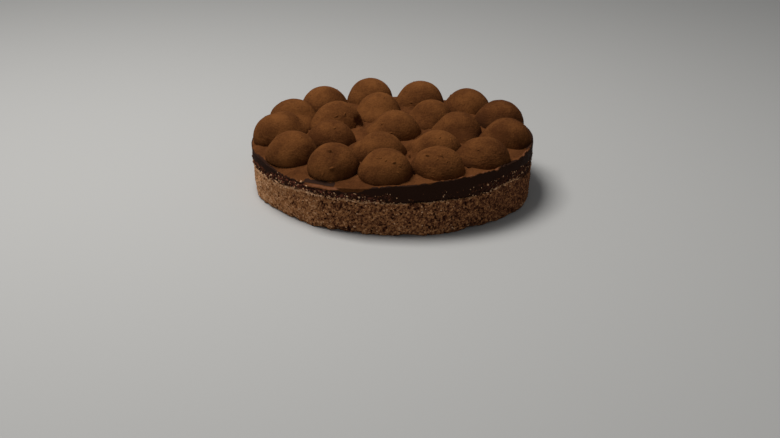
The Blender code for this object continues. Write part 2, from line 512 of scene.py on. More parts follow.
@dataclass(frozen=True)
class CocoaFinish(Finish):
    """Dry cocoa powder, thick in most places and thin where it was knocked off, with painted shade between
    close truffles and painted highlights on the chips' lips.
    """

    thick: Colour = (0.155, 0.0565, 0.0162)
    thin: Colour = (0.072, 0.0245, 0.0078)
    bare: Colour = (0.028, 0.0100, 0.0045)

    def make(self, effects: Effects) -> bpy.types.Material:
        """Makes the material.

        Args:
            effects: the shared node groups.

        Returns:
            The material.
        """
        material, bench, shader, place = self.start()
        # bare: thinner cocoa, painted shade between close truffles, painted highlight on chip lips
        bare_and_painted_light = self.carried(bench, "bare")
        inputs = {"Vector": place, "Thick": (*self.thick, 1.0), "Thin": (*self.thin, 1.0), "Bare": bare_and_painted_light}
        powder = bench.add("Group", inputs, node_tree=effects.powder)
        colour = bench.mix(bench.spread(bare_and_painted_light, 0.45, 1.0), powder.outputs["Colour"], self.bare)
        bench.feed(shader.inputs["Base Color"], colour)
        self.add_bump(bench, shader, powder.outputs["Grain"])
        return material


@dataclass(frozen=True)
class CrumbFinish(Finish):
    """Baked crumb, whose tone follows the grains that the mesh carries."""

    # darkest stop: dark soaked grains, and painted shade in the pores
    pore_shade_and_dark_grain: Colour = (0.026, 0.0065, 0.0035)
    brown: Colour = (0.135, 0.0470, 0.0215)
    gold: Colour = (0.450, 0.198, 0.075)
    cream: Colour = (0.840, 0.535, 0.310)
    grain_size: float = 0.9
    fleck_strength: float = 0.40

    def make(self, effects: Effects) -> bpy.types.Material:
        """Makes the material.

        Args:
            effects: the shared node groups.

        Returns:
            The material.
        """
        material, bench, shader, place = self.start()
        tone = self.carried(bench, "tone")
        crumble = bench.add("Group", {"Vector": place, "Size": self.grain_size}, node_tree=effects.crumble)
        calm = bench.math("MULTIPLY", bench.math("SUBTRACT", 1.2, tone), self.fleck_strength)
        flecks = bench.math("MULTIPLY", bench.math("SUBTRACT", crumble.outputs["Tone"], 0.5), calm)
        ramp = bench.add("ValToRGB", {"Fac": bench.math("ADD", tone, flecks)})
        stops = ((0.0, self.pore_shade_and_dark_grain), (0.35, self.brown), (0.7, self.gold), (1.0, self.cream))
        elements = ramp.color_ramp.elements
        while len(elements) < len(stops):
            elements.new(0.5)
        for element, (position, colour) in zip(elements, stops):
            element.position = position
            element.color = (*colour, 1.0)
        bench.feed(shader.inputs["Base Color"], ramp.outputs["Color"])
        shader.inputs["Diffuse Roughness"].default_value = 0.8
        self.add_bump(bench, shader, crumble.outputs["Height"])
        return material


@dataclass(frozen=True)
class GanacheFinish(Finish):
    """Set ganache: bare and near black at the side, under cocoa on top, soaked crumb where it is rough, and a
    painted highlight on the lit ledge and torn lip.
    """

    bare: Colour = (0.0270, 0.0120, 0.0076)
    soaked: Colour = (0.230, 0.072, 0.042)
    thick: Colour = (0.122, 0.0435, 0.0140)
    thin: Colour = (0.058, 0.0200, 0.0068)
    # painted highlight: paler cocoa on the ledge and the torn lip where they meet the light
    painted_highlight: Colour = (0.168, 0.064, 0.031)
    dull: float = 0.95
    streak_strength: float = 0.16
    gloss_strength: float = 0.2

    def make(self, effects: Effects) -> bpy.types.Material:
        """Makes the material.

        Args:
            effects: the shared node groups.

        Returns:
            The material.
        """
        material, bench, shader, place = self.start()
        dust_and_highlight = self.carried(bench, "dust_and_highlight")
        tone = self.carried(bench, "tone")
        inputs = {"Vector": place, "Thick": (*self.thick, 1.0), "Thin": (*self.thin, 1.0), "Bare": 0.0}
        powder = bench.add("Group", inputs, node_tree=effects.powder)
        body = bench.mix(tone, self.bare, self.soaked)
        broken = bench.math("ADD", dust_and_highlight, bench.math("MULTIPLY", powder.outputs["Grain"], 0.5))
        cover = bench.spread(broken, 0.68, 0.84)
        # dust over 1.05 turns to the painted highlight colour
        cocoa = bench.mix(bench.spread(dust_and_highlight, 1.05, 1.5), powder.outputs["Colour"], self.painted_highlight)
        bench.feed(shader.inputs["Base Color"], bench.mix(cover, body, cocoa))
        streaks = bench.lumps(place, size=3.0, detail=3.0, low=0.3, high=0.7)
        sheen = bench.math("ADD", bench.math("MULTIPLY", streaks, self.streak_strength), self.roughness)
        gloss = bench.math("MULTIPLY", bench.spread(dust_and_highlight, 0.0, -0.3), -self.gloss_strength)
        sheen = bench.math("ADD", sheen, gloss)
        matt = bench.math("MAXIMUM", cover, bench.spread(tone, 0.0, 0.5))
        rough = bench.add("MapRange", {"Value": matt, "To Min": sheen, "To Max": self.dull})
        bench.feed(shader.inputs["Roughness"], rough.outputs["Result"])
        self.add_bump(bench, shader, powder.outputs["Grain"])
        return material


# ---------------------------------------------------------------- building meshes


class RingMesh:
    """A mesh that grows ring by ring from a circle of vertices and ends closed at both poles."""

    def __init__(self, spokes: int, masks: tuple[str, ...]) -> None:
        """Starts the first ring.

        Args:
            spokes: vertices of the first ring.
            masks: names of the values that each vertex carries, besides its station.
        """
        self.bm = bmesh.new()
        self.station = self.bm.verts.layers.float.new("station")
        self.masks = [self.bm.verts.layers.float.new(name) for name in masks]
        self.ring = bmesh.ops.create_circle(self.bm, segments=spokes, radius=1.0)["verts"]
        self.edges = self.bm.edges[:]
        self.first = list(self.edges)

    def place_ring(self, level: Level, station: float) -> None:
        """Puts the newest ring where a level says.

        Args:
            level: gives the point at an angle.
            station: how far the ring lies along the profile.
        """
        for vert in self.ring:
            vert.co = level(angle_of(vert.co))
            vert[self.station] = station

    def grow(self, level: Level, station: float) -> None:
        """Adds a ring beyond the newest one.

        Args:
            level: gives the point at an angle.
            station: how far the ring lies along the profile.
        """
        grown = bmesh.ops.extrude_edge_only(self.bm, edges=self.edges)["geom"]
        self.ring = [item for item in grown if isinstance(item, bmesh.types.BMVert)]
        fresh = set(self.ring)
        edges = [item for item in grown if isinstance(item, bmesh.types.BMEdge)]
        self.edges = [edge for edge in edges if set(edge.verts) <= fresh]
        self.place_ring(level, station)

    def halve(self) -> None:
        """Merges the vertices of the newest ring two by two, and keeps every other spoke from there."""
        ring = sorted(self.ring, key=lambda vert: angle_of(vert.co))
        bmesh.ops.weld_verts(self.bm, targetmap=dict(zip(ring[1::2], ring[0::2])))
        self.ring = ring[0::2]
        left = set(self.ring)
        found = dict.fromkeys(edge for vert in self.ring for edge in vert.link_edges)
        self.edges = [edge for edge in found if set(edge.verts) <= left]

    def close(self) -> None:
        """Closes the first and the last ring with a fan to the middle."""
        for edges in (self.first, self.edges):
            grown = bmesh.ops.extrude_edge_only(self.bm, edges=edges)["geom"]
            tips = [item for item in grown if isinstance(item, bmesh.types.BMVert)]
            height = sum(vert.co.z for vert in tips) / len(tips)
            bmesh.ops.pointmerge(self.bm, verts=tips, merge_co=(0.0, 0.0, height))


def add_piece(
    name: str,
    bm: bmesh.types.BMesh,
    material: bpy.types.Material,
    slot: Slot,
    node: str | None = None,
) -> bpy.types.Object:
    """Turns a bmesh in millimetres into a piece of the cake.

    Args:
        name: the piece's name.
        bm: the mesh, which is freed.
        material: its finish.
        slot: the record's slot that the finish stands for.
        node: the CAD node that the piece replaces, if any.

    Returns:
        The new object.
    """
    bmesh.ops.recalc_face_normals(bm, faces=bm.faces[:])
    bmesh.ops.scale(bm, vec=(MM, MM, MM), verts=bm.verts[:])
    mesh = bpy.data.meshes.new(name)
    bm.to_mesh(mesh)
    bm.free()
    return add_mesh(name, mesh, material, slot, node)


def add_mesh(
    name: str,
    mesh: bpy.types.Mesh,
    material: bpy.types.Material,
    slot: Slot,
    node: str | None = None,
) -> bpy.types.Object:
    """Links a finished mesh in metres as a piece of the cake.

    Args:
        name: the piece's name.
        mesh: the mesh.
        material: its finish.
        slot: the record's slot that the finish stands for; not used.
        node: the CAD node that the piece replaces, if any.

    Returns:
        The new object.
    """
    mesh.shade_smooth()
    mesh.materials.append(material)
    piece = bpy.data.objects.new(name, mesh)
    bpy.context.scene.collection.objects.link(piece)
    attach(piece, "root")
    if node:
        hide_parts(node)
    mesh.calc_loop_triangles()
    log.info("%s: %d triangles", name, len(mesh.loop_triangles))
    return piece


@dataclass
class GrainPile:
    """Small grains of one kind, joined into one mesh of a few kinds of lump."""

    name: str
    seed: int
    mask: str
    kinds: int = 14
    unevenness: float = 0.22
    stretch: tuple[float, float] = (0.75, 1.2)
    places: list[Vector] = field(default_factory=list)
    sizes: list[float] = field(default_factory=list)
    tones: list[float] = field(default_factory=list)

    def add(self, place: Vector, size: float, tone: float) -> None:
        """Adds a grain.

        Args:
            place: its middle.
            size: how wide it is, in millimetres.
            tone: the value that its mask carries.
        """
        self.places.append(place)
        self.sizes.append(size)
        self.tones.append(tone)

    def lumps(self, draw: random.Random) -> tuple[np.ndarray, np.ndarray]:
        """Makes the kinds of lump, one millimetre across.

        Args:
            draw: gives the random numbers.

        Returns:
            The points of each kind, and the faces that they all share.
        """
        points = []
        for _ in range(self.kinds):
            bm = bmesh.new()
            bmesh.ops.create_icosphere(bm, subdivisions=1, radius=0.5)
            bm.verts.ensure_lookup_table()
            reach = (1.0 - self.unevenness, 1.0 + self.unevenness)
            points.append([vert.co * draw.uniform(*reach) for vert in bm.verts])
            faces = np.array([[vert.index for vert in face.verts] for face in bm.faces])
            bm.free()
        return np.array(points), faces

    def build(self, material: bpy.types.Material, slot: Slot) -> bpy.types.Object:
        """Joins the grains into one piece.

        Args:
            material: the finish.
            slot: the record's slot that it stands for.

        Returns:
            The new object.
        """
        draw = random.Random(self.seed)
        points, faces = self.lumps(draw)
        corners, triangles = [], []
        for number, (place, size) in enumerate(zip(self.places, self.sizes)):
            turn = Euler([draw.uniform(0.0, math.tau) for _ in range(3)]).to_matrix()
            stretch = np.diag([draw.uniform(*self.stretch) for _ in range(3)])
            lump = points[draw.randrange(self.kinds)] @ stretch @ np.array(turn) * size
            corners.append(lump + np.array(place))
            triangles.append(faces + number * points.shape[1])
        mesh = bpy.data.meshes.new(self.name)
        mesh.from_pydata((np.concatenate(corners) * MM).tolist(), [], np.concatenate(triangles).tolist())
        values = mesh.attributes.new(self.mask, "FLOAT", "POINT")
        values.data.foreach_set("value", np.repeat(self.tones, points.shape[1]).astype(np.float32))
        return add_mesh(self.name, mesh, material, slot)


# ---------------------------------------------------------------- crumb base


@dataclass(frozen=True)
class CrumbBase:
    """The pressed crumb base: packed grains, pores where grains fell out, and a ragged foot."""

    spokes: int = 1150
    rings: int = 44
    inner_radius: float = 60.0
    ledge_width: float = 2.2
    grain_size: float = 1.3
    grain_height: float = 0.36
    grain_scatter: float = 0.25
    pore_share: float = 0.055
    pore_depth: float = 1.0
    lump_size: float = 4.5
    lump_height: float = 0.45
    tone: float = 0.43
    tone_spread: float = 0.46
    dome_tone: float = 0.14
    lump_tone: float = 0.12
    # painted shade in the pores
    pore_painted_shade: float = 0.38
    foot_heights: tuple[float, ...] = (0.0, 1.8, 5.0)
    foot_recess: float = 0.8
    hollows: tuple[Stretch, ...] = (Stretch(-109.5, 4.0, 2.0), Stretch(-59.5, 3.0, 2.0))
    hollow_depth: float = 1.6
    # painted shade in the hollows of the foot
    hollow_painted_shade: float = 0.2
    # paler crumb at the left, with painted light on the left side and painted shade on the right
    paler_and_lit_sides: tuple[Hump, ...] = (
        Hump(-165.0, 30.0, 0.27),
        Hump(-112.0, 22.0, -0.035),
        Hump(-28.0, 32.0, -0.145),
    )
    calm: Stretch = Stretch(-14.0, 32.0, 12.0)
    # partly paler crumb, partly a painted highlight along the lit top edge
    edge_highlight_tone: float = 0.85
    edge_height: float = 0.7
    edge_pace: float = 30.0
    dim_edge: Stretch = Stretch(-32.0, 24.0, 5.0)
    edge_dimming: float = 0.8

    def foot(self, angle: float, height: float) -> float:
        """Works out how far the foot is eaten back.

        Args:
            angle: angle of the spot.
            height: its height.

        Returns:
            How far the side lies back there.
        """
        notch = SHAPE.notch(angle)
        hollow = self.hollow(angle)
        depths = (self.foot_recess + notch + hollow, 0.4 * notch + hollow, 0.0)
        return float(np.interp(height, self.foot_heights, depths))

    def hollow(self, angle: float) -> float:
        """Returns how deep the foot is hollowed where lumps fell out of it."""
        return self.hollow_depth * total(self.hollows, angle)

    def paleness_and_light(self, angle: float) -> float:
        """Returns how much paler the crumb is at an angle: a paler crumb at the left, with painted light on
        the left and painted shade on the right.
        """
        return total(self.paler_and_lit_sides, angle)

    def contrast(self, angle: float) -> float:
        """Returns how strongly the grains differ in tone, less on the calm stretch at the right."""
        return 1.0 - 0.5 * self.calm.at(angle)

    def edge_highlight_strength(self, angle: float) -> float:
        """Returns how pale the upper edge is, partly paler crumb and partly a painted highlight where its
        ledge meets the light, less on the dim stretch at the right.
        """
        return 1.0 - self.edge_dimming * self.dim_edge.at(angle)

    def relief(self, angle: float, height: float) -> tuple[float, float]:
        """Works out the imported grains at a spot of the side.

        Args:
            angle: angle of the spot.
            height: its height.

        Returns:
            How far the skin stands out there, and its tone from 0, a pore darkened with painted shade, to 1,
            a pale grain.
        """
        place = on_circle(angle, SHAPE.foot_radius, height)
        dome, chance = packed_grain(place, self.grain_size, 17.0)
        lump = noise.noise(place / self.lump_size)
        # pale: paler crumb at the left, with painted light and painted shade on the sides
        pale = self.paleness_and_light(angle)
        rise = self.lump_height * lump + self.grain_height * (dome - 0.6)
        tone = self.tone + (self.tone_spread - pale) * (chance - 0.5) * self.contrast(angle)
        tone += self.dome_tone * dome + self.lump_tone * lump + pale
        # pores: real hollows, with painted shade in them
        if chance < self.pore_share:
            rise -= self.pore_depth * smooth_step(dome, 0.1, 0.8)
            tone -= self.pore_painted_shade * smooth_step(dome, 0.0, 0.7)
        else:
            rise += self.grain_scatter * (chance - 0.6)
        return rise * (1.0 - 1.4 * max(pale, 0.0)), min(max(tone, 0.0), 1.0)

    def skin(self, angle: float, height: float) -> tuple[float, float]:
        """Works out a spot of the finished side.

        Args:
            angle: angle of the spot.
            height: its height.

        Returns:
            Its radius and its tone.
        """
        rise, tone = self.relief(angle, height)
        below = SHAPE.crumb_height(angle) - height
        unbroken = around(angle, self.edge_pace, Pattern.EDGE) + 1.8 * self.paleness_and_light(angle)
        # edge: painted highlight along the crumb's top edge, with paler crumb
        edge = smooth_step(unbroken, -0.35, 0.0) * smooth_step(self.edge_height - below, 0.0, 0.4)
        edge *= self.edge_highlight_strength(angle)
        # painted shade in the hollows of the foot
        tone -= self.hollow_painted_shade * self.hollow(angle) * smooth_step(5.0 - height, 0.0, 2.0)
        plain = SHAPE.side_radius(angle, height) + SHAPE.crag(angle, height)
        radius = plain - self.foot(angle, height) + rise * (0.3 + 0.7 * smooth_step(below, 0.0, 1.0))
        return radius, tone + (self.edge_highlight_tone - tone) * edge

    def top_edge(self, angle: float) -> Vector:
        """Returns the inner line of the narrow ledge on top of the side."""
        outer = SHAPE.side_radius(angle, SHAPE.crumb_level)
        return on_circle(angle, outer - self.ledge_width, SHAPE.crumb_height(angle))

    def side_level(self, part: float) -> Level:
        """Returns the level at a share of the side's height."""
        return lambda angle: on_circle(angle, SHAPE.foot_radius, part * SHAPE.crumb_height(angle))

    def build(self, material: bpy.types.Material) -> None:
        """Builds the base in place of its solid.

        Args:
            material: the crumb's finish.
        """
        inner = self.inner_radius
        rings = RingMesh(self.spokes, ("tone",))
        tone = rings.masks[0]
        rings.place_ring(lambda angle: on_circle(angle, inner, 0.0), 0.0)
        for index in range(self.rings + 1):
            rings.grow(self.side_level(index / self.rings), 1.0)
        for vert in [one for one in rings.bm.verts if one[rings.station] == 1.0]:
            angle = angle_of(vert.co)
            radius, vert[tone] = self.skin(angle, vert.co.z)
            vert.co = on_circle(angle, radius, vert.co.z)
        rings.grow(self.top_edge, 2.0)
        # painted highlight on the top ledge
        for vert in rings.ring:
            vert[tone] = self.edge_highlight_tone * self.edge_highlight_strength(angle_of(vert.co))
        rings.grow(lambda angle: on_circle(angle, inner, SHAPE.seam_height(angle, inner)), 2.0)
        rings.close()
        add_piece("pressed_crumb", rings.bm, material, Slot.CRUMB, "crumb_base")


@dataclass(frozen=True)
class CrumbGrains:
    """Grains that stand out of the side, all round and in a ragged line at the foot."""

    count: int = 9200
    smallest: float = 0.5
    largest: float = 1.5
    tone: float = 0.49
    tone_spread: float = 0.21
    dark_share: float = 0.10
    foot_lumps: int = 90
    reach: float = 0.74
    seed: int = 5

    def build(self, base: CrumbBase, material: bpy.types.Material) -> None:
        """Scatters the grains over the side of the base.

        Args:
            base: the base that they stand on.
            material: the crumb's finish.
        """
        draw = random.Random(self.seed)
        pile = GrainPile("crumb_grains", self.seed, "tone")
        while len(pile.places) < self.count:
            angle = draw.uniform(-180.0, 180.0)
            size = self.smallest + (self.largest - self.smallest) * draw.random() ** 2.2
            height = draw.uniform(self.reach * size, SHAPE.crumb_height(angle) - 0.2)
            radius, tone = base.skin(angle, height)
            if tone < 0.2 and draw.random() < 0.8:
                continue
            # paler grains on the left, with painted light there and painted shade on the right
            pale = base.paleness_and_light(angle)
            uneven = (self.tone_spread - 0.5 * pale) * base.contrast(angle)
            tone = min(max(draw.gauss(self.tone + pale, uneven), 0.02), 0.95)
            if draw.random() < self.dark_share * base.contrast(angle) ** 2:
                tone = draw.uniform(0.0, 0.15)
            size *= 1.0 - max(pale, 0.0)
            pile.add(on_circle(angle, radius - 0.18 * size, height), size, tone)
        for _ in range(self.foot_lumps):
            angle, size = draw.uniform(-180.0, 180.0), draw.uniform(1.5, 2.5)
            height = self.reach * size + draw.uniform(0.0, 1.4)
            radius, _ = base.skin(angle, height)
            pile.add(on_circle(angle, radius - 0.3 * size, height), size, draw.uniform(0.6, 0.85))
        pile.build(material, Slot.CRUMB)


# ---------------------------------------------------------------- truffles


@dataclass(frozen=True)
class TrufflePlace:
    """Where a truffle stands and how large it is, read from its solid."""

    node: str
    centre: Vector
    radius: float
    seed: float

    @staticmethod
    def read(node: str, seed: float) -> "TrufflePlace":
        """Reads a place from the box of a node, whose top lies one radius over its widest ring.

        Args:
            node: the node's name.
            seed: sets the truffle's own unevenness.

        Returns:
            The place.
        """
        low, high = (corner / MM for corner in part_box(node))
        radius = (high.x - low.x + high.y - low.y) / 4.0
        middle = (low + high) / 2.0
        return TrufflePlace(node, Vector((middle.x, middle.y, high.z - radius)), radius, seed)

    def joined(self, way: Vector) -> float:
        """Works out how far the foot runs into what lies round it.

        Args:
            way: a direction from the truffle's centre.

        Returns:
            1 where it runs in, and 0 where it stands free.
        """
        spot = Vector((way.x, way.y, 0.0)).normalized()
        outward = spot.dot(self.centre.to_2d().to_3d()) / SHAPE.foot_radius
        strength = 1.0 - smooth_step(outward, -0.25, 0.45)
        for gap in FREE_FEET.get(self.node, ()):
            strength *= 1.0 - gap.at(angle_of(spot))
        return strength


@dataclass(frozen=True)
class Chip:
    """A mark in the cocoa of a truffle: a short dent, a little darker as painted shade, with a raised far lip
    painted lighter as a highlight.
    """

    azimuth: float
    elevation: float
    length: float
    width: float
    depth: float
    turn: float = 0.0

    def axes(self) -> tuple[Vector, Vector, Vector]:
        """Works out how the chip lies.

        Returns:
            The direction of its middle, and the two directions along and across it.
        """
        middle = direction(self.azimuth, self.elevation)
        east = Vector((0.0, 0.0, 1.0)).cross(middle).normalized()
        north = middle.cross(east)
        cosine, sine = math.cos(math.radians(self.turn)), math.sin(math.radians(self.turn))
        return middle, east * cosine + north * sine, north * cosine - east * sine

    def cut(self, points: np.ndarray, radius: float) -> tuple[np.ndarray, np.ndarray]:
        """Works out the chip over a truffle's skin.

        Args:
            points: unit directions of the skin's points, one in each row.
            radius: the truffle's radius.

        Returns:
            How far each point moves out, and how much barer it becomes: a little in the dent, as painted
            shade, and less than nothing on the lip, as a painted highlight.
        """
        middle, along, across = (np.array(axis) for axis in self.axes())
        here = (points - middle) * radius
        u, v = here @ along / self.length, here @ across / self.width
        side = (points @ middle) > 0.5
        dent = np.exp(-2.0 * (u**2 + (v + 0.35 * u**2) ** 2)) * side
        lip = np.exp(-2.0 * (u**2 + ((v - 1.3) * 1.6) ** 2)) * side
        # painted shade in the dent, painted highlight on the lip
        bare = (0.15 * dent - 0.9 * lip) * min(self.depth / 0.5, 1.0)
        return self.depth * (1.7 * lip - 0.5 * dent), bare

    def lip(self, place: TrufflePlace, draw: random.Random) -> Vector:
        """Picks a random point of the raised lip.

        Args:
            place: the truffle.
            draw: gives the random numbers.

        Returns:
            The point.
        """
        middle, along, across = self.axes()
        here = middle * place.radius + along * draw.uniform(-1.1, 1.1) * self.length
        here += across * draw.uniform(1.0, 1.7) * self.width
        return place.centre + here.normalized() * (place.radius + 0.1)


@dataclass(frozen=True)
class Crumbling:
    """A side of a truffle that broke into crumbs and shows the dark inside."""

    azimuth: float
    elevation: float
    spread: float
    depth: float


# Marks that show from the front, by truffle
MARKS: dict[str, tuple[Chip, ...]] = {
    "truffle_outer_03": (
        Chip(-104.0, 57.0, 2.1, 0.9, 0.8, -15.0),
        Chip(-97.0, 60.0, 0.8, 0.6, 0.5, 60.0),
        Chip(-89.0, 17.0, 1.8, 0.95, 0.8, 20.0),
        Chip(-108.0, 4.0, 1.2, 0.7, 0.5, 70.0),
    ),
    "truffle_outer_04": (
        Chip(-111.0, 55.0, 1.2, 0.45, 0.4, 10.0),
        Chip(-126.0, 53.0, 1.1, 0.45, 0.4, -10.0),
        Chip(-65.0, 43.0, 1.3, 0.6, 0.6, 0.0),
        Chip(-88.0, 50.0, 0.8, 0.5, 0.35, 40.0),
        Chip(-62.0, 20.0, 1.0, 0.6, 0.4, -30.0),
    ),
    "truffle_outer_05": (
        Chip(-139.0, 48.0, 1.7, 0.75, 0.8, 12.0),
        Chip(-94.0, 56.0, 1.5, 0.9, 1.0, -50.0),
        Chip(-100.0, 46.0, 0.9, 0.6, 0.4, -20.0),
        Chip(-70.0, 40.0, 0.7, 0.5, 0.35, 30.0),
    ),
    "truffle_outer_06": (Chip(-118.0, 42.0, 1.1, 0.7, 0.3, 30.0),),
    "truffle_outer_10": (Chip(-115.0, 17.0, 1.0, 0.6, 0.5, 0.0),),
    "truffle_inner_01": (Chip(-70.0, 56.0, 1.0, 0.5, 0.4, 20.0),),
    "truffle_inner_03": (
        Chip(-82.0, 58.0, 0.9, 0.5, 0.4, 50.0),
        Chip(-29.0, 49.0, 1.6, 0.8, 0.45, 60.0),
    ),
    "truffle_inner_07": (
        Chip(-124.0, 46.0, 0.9, 0.5, 0.2, 0.0),
        Chip(-89.0, 37.0, 1.6, 0.8, 0.35, 30.0),
        Chip(-60.0, 42.0, 1.8, 0.9, 0.4, 60.0),
        Chip(-70.0, 20.0, 2.0, 0.9, 0.4, 80.0),
    ),
    "truffle_centre_01": (
        Chip(-132.0, 36.0, 1.0, 1.0, 0.4, 40.0),
        Chip(-102.0, 19.0, 1.3, 0.7, 0.5, 0.0),
    ),
}
# Feet that run out wide towards an angle, as a share of the truffle's radius
WIDE_FEET: dict[str, tuple[Hump, ...]] = {
    "truffle_outer_01": (Hump(20.0, 26.0, 0.26), Hump(80.0, 26.0, 0.24)),
    "truffle_outer_02": (Hump(80.0, 24.0, 0.26), Hump(172.0, 24.0, 0.14)),
    "truffle_outer_06": (Hump(100.0, 22.0, 0.22), Hump(-165.0, 30.0, 0.26)),
    "truffle_outer_07": (Hump(-150.0, 24.0, 0.28),),
    "truffle_outer_13": (Hump(-68.0, 32.0, 0.48),),
    "truffle_inner_01": (Hump(150.0, 24.0, 0.22),),
    "truffle_inner_02": (Hump(146.0, 26.0, 0.52), Hump(40.0, 22.0, 0.22)),
    "truffle_inner_03": (Hump(50.0, 24.0, 0.30), Hump(158.0, 12.0, 0.50)),
    "truffle_inner_04": (Hump(-75.0, 24.0, 0.32), Hump(175.0, 22.0, 0.10)),
    "truffle_inner_05": (Hump(-115.0, 24.0, 0.30),),
    "truffle_inner_06": (Hump(-95.0, 28.0, 0.30),),
    "truffle_inner_07": (Hump(-150.0, 22.0, 0.20),),
    "truffle_centre_01": (Hump(180.0, 30.0, 0.26), Hump(45.0, 24.0, 0.20)),
}
# Shoulders that are fuller towards an angle than a ball's, as a share of the radius
FULL_SHOULDERS: dict[str, tuple[Hump, ...]] = {
    "truffle_outer_01": (Hump(53.0, 32.0, 0.30),),
    "truffle_outer_05": (Hump(178.0, 35.0, 0.13),),
    "truffle_outer_06": (Hump(175.0, 35.0, 0.13),),
    "truffle_outer_13": (Hump(-127.0, 32.0, 0.27),),
}
# How much darker the cocoa is on a truffle than on the others
TRUFFLE_DARKENING: dict[str, float] = {
    "truffle_outer_03": 0.18,
    "truffle_outer_06": 0.27,
    "truffle_outer_07": 0.26,
    "truffle_outer_08": 0.42,
    "truffle_outer_09": 0.05,
    "truffle_outer_11": -0.10,
    "truffle_outer_12": 0.08,
    "truffle_outer_13": -0.10,
    "truffle_inner_01": 0.12,
    "truffle_inner_04": 0.30,
    "truffle_inner_06": -0.25,
}
# How deep the fine level wrinkles are on some truffles
WRINKLES: dict[str, float] = {
    "truffle_outer_05": 0.12,
    "truffle_outer_06": 0.14,
    "truffle_outer_08": 0.10,
}
# Sides that broke into crumbs
BROKEN_SIDES: dict[str, Crumbling] = {"truffle_inner_07": Crumbling(-22.0, 14.0, 25.0, 2.4)}
# Stretches of a truffle's foot that stand free, with no powder heaped against them
FREE_FEET: dict[str, tuple[Stretch, ...]] = {
    "truffle_inner_07": (Stretch(-25.0, 20.0),),
    "truffle_centre_01": (Stretch(-65.0, 26.0),),
}


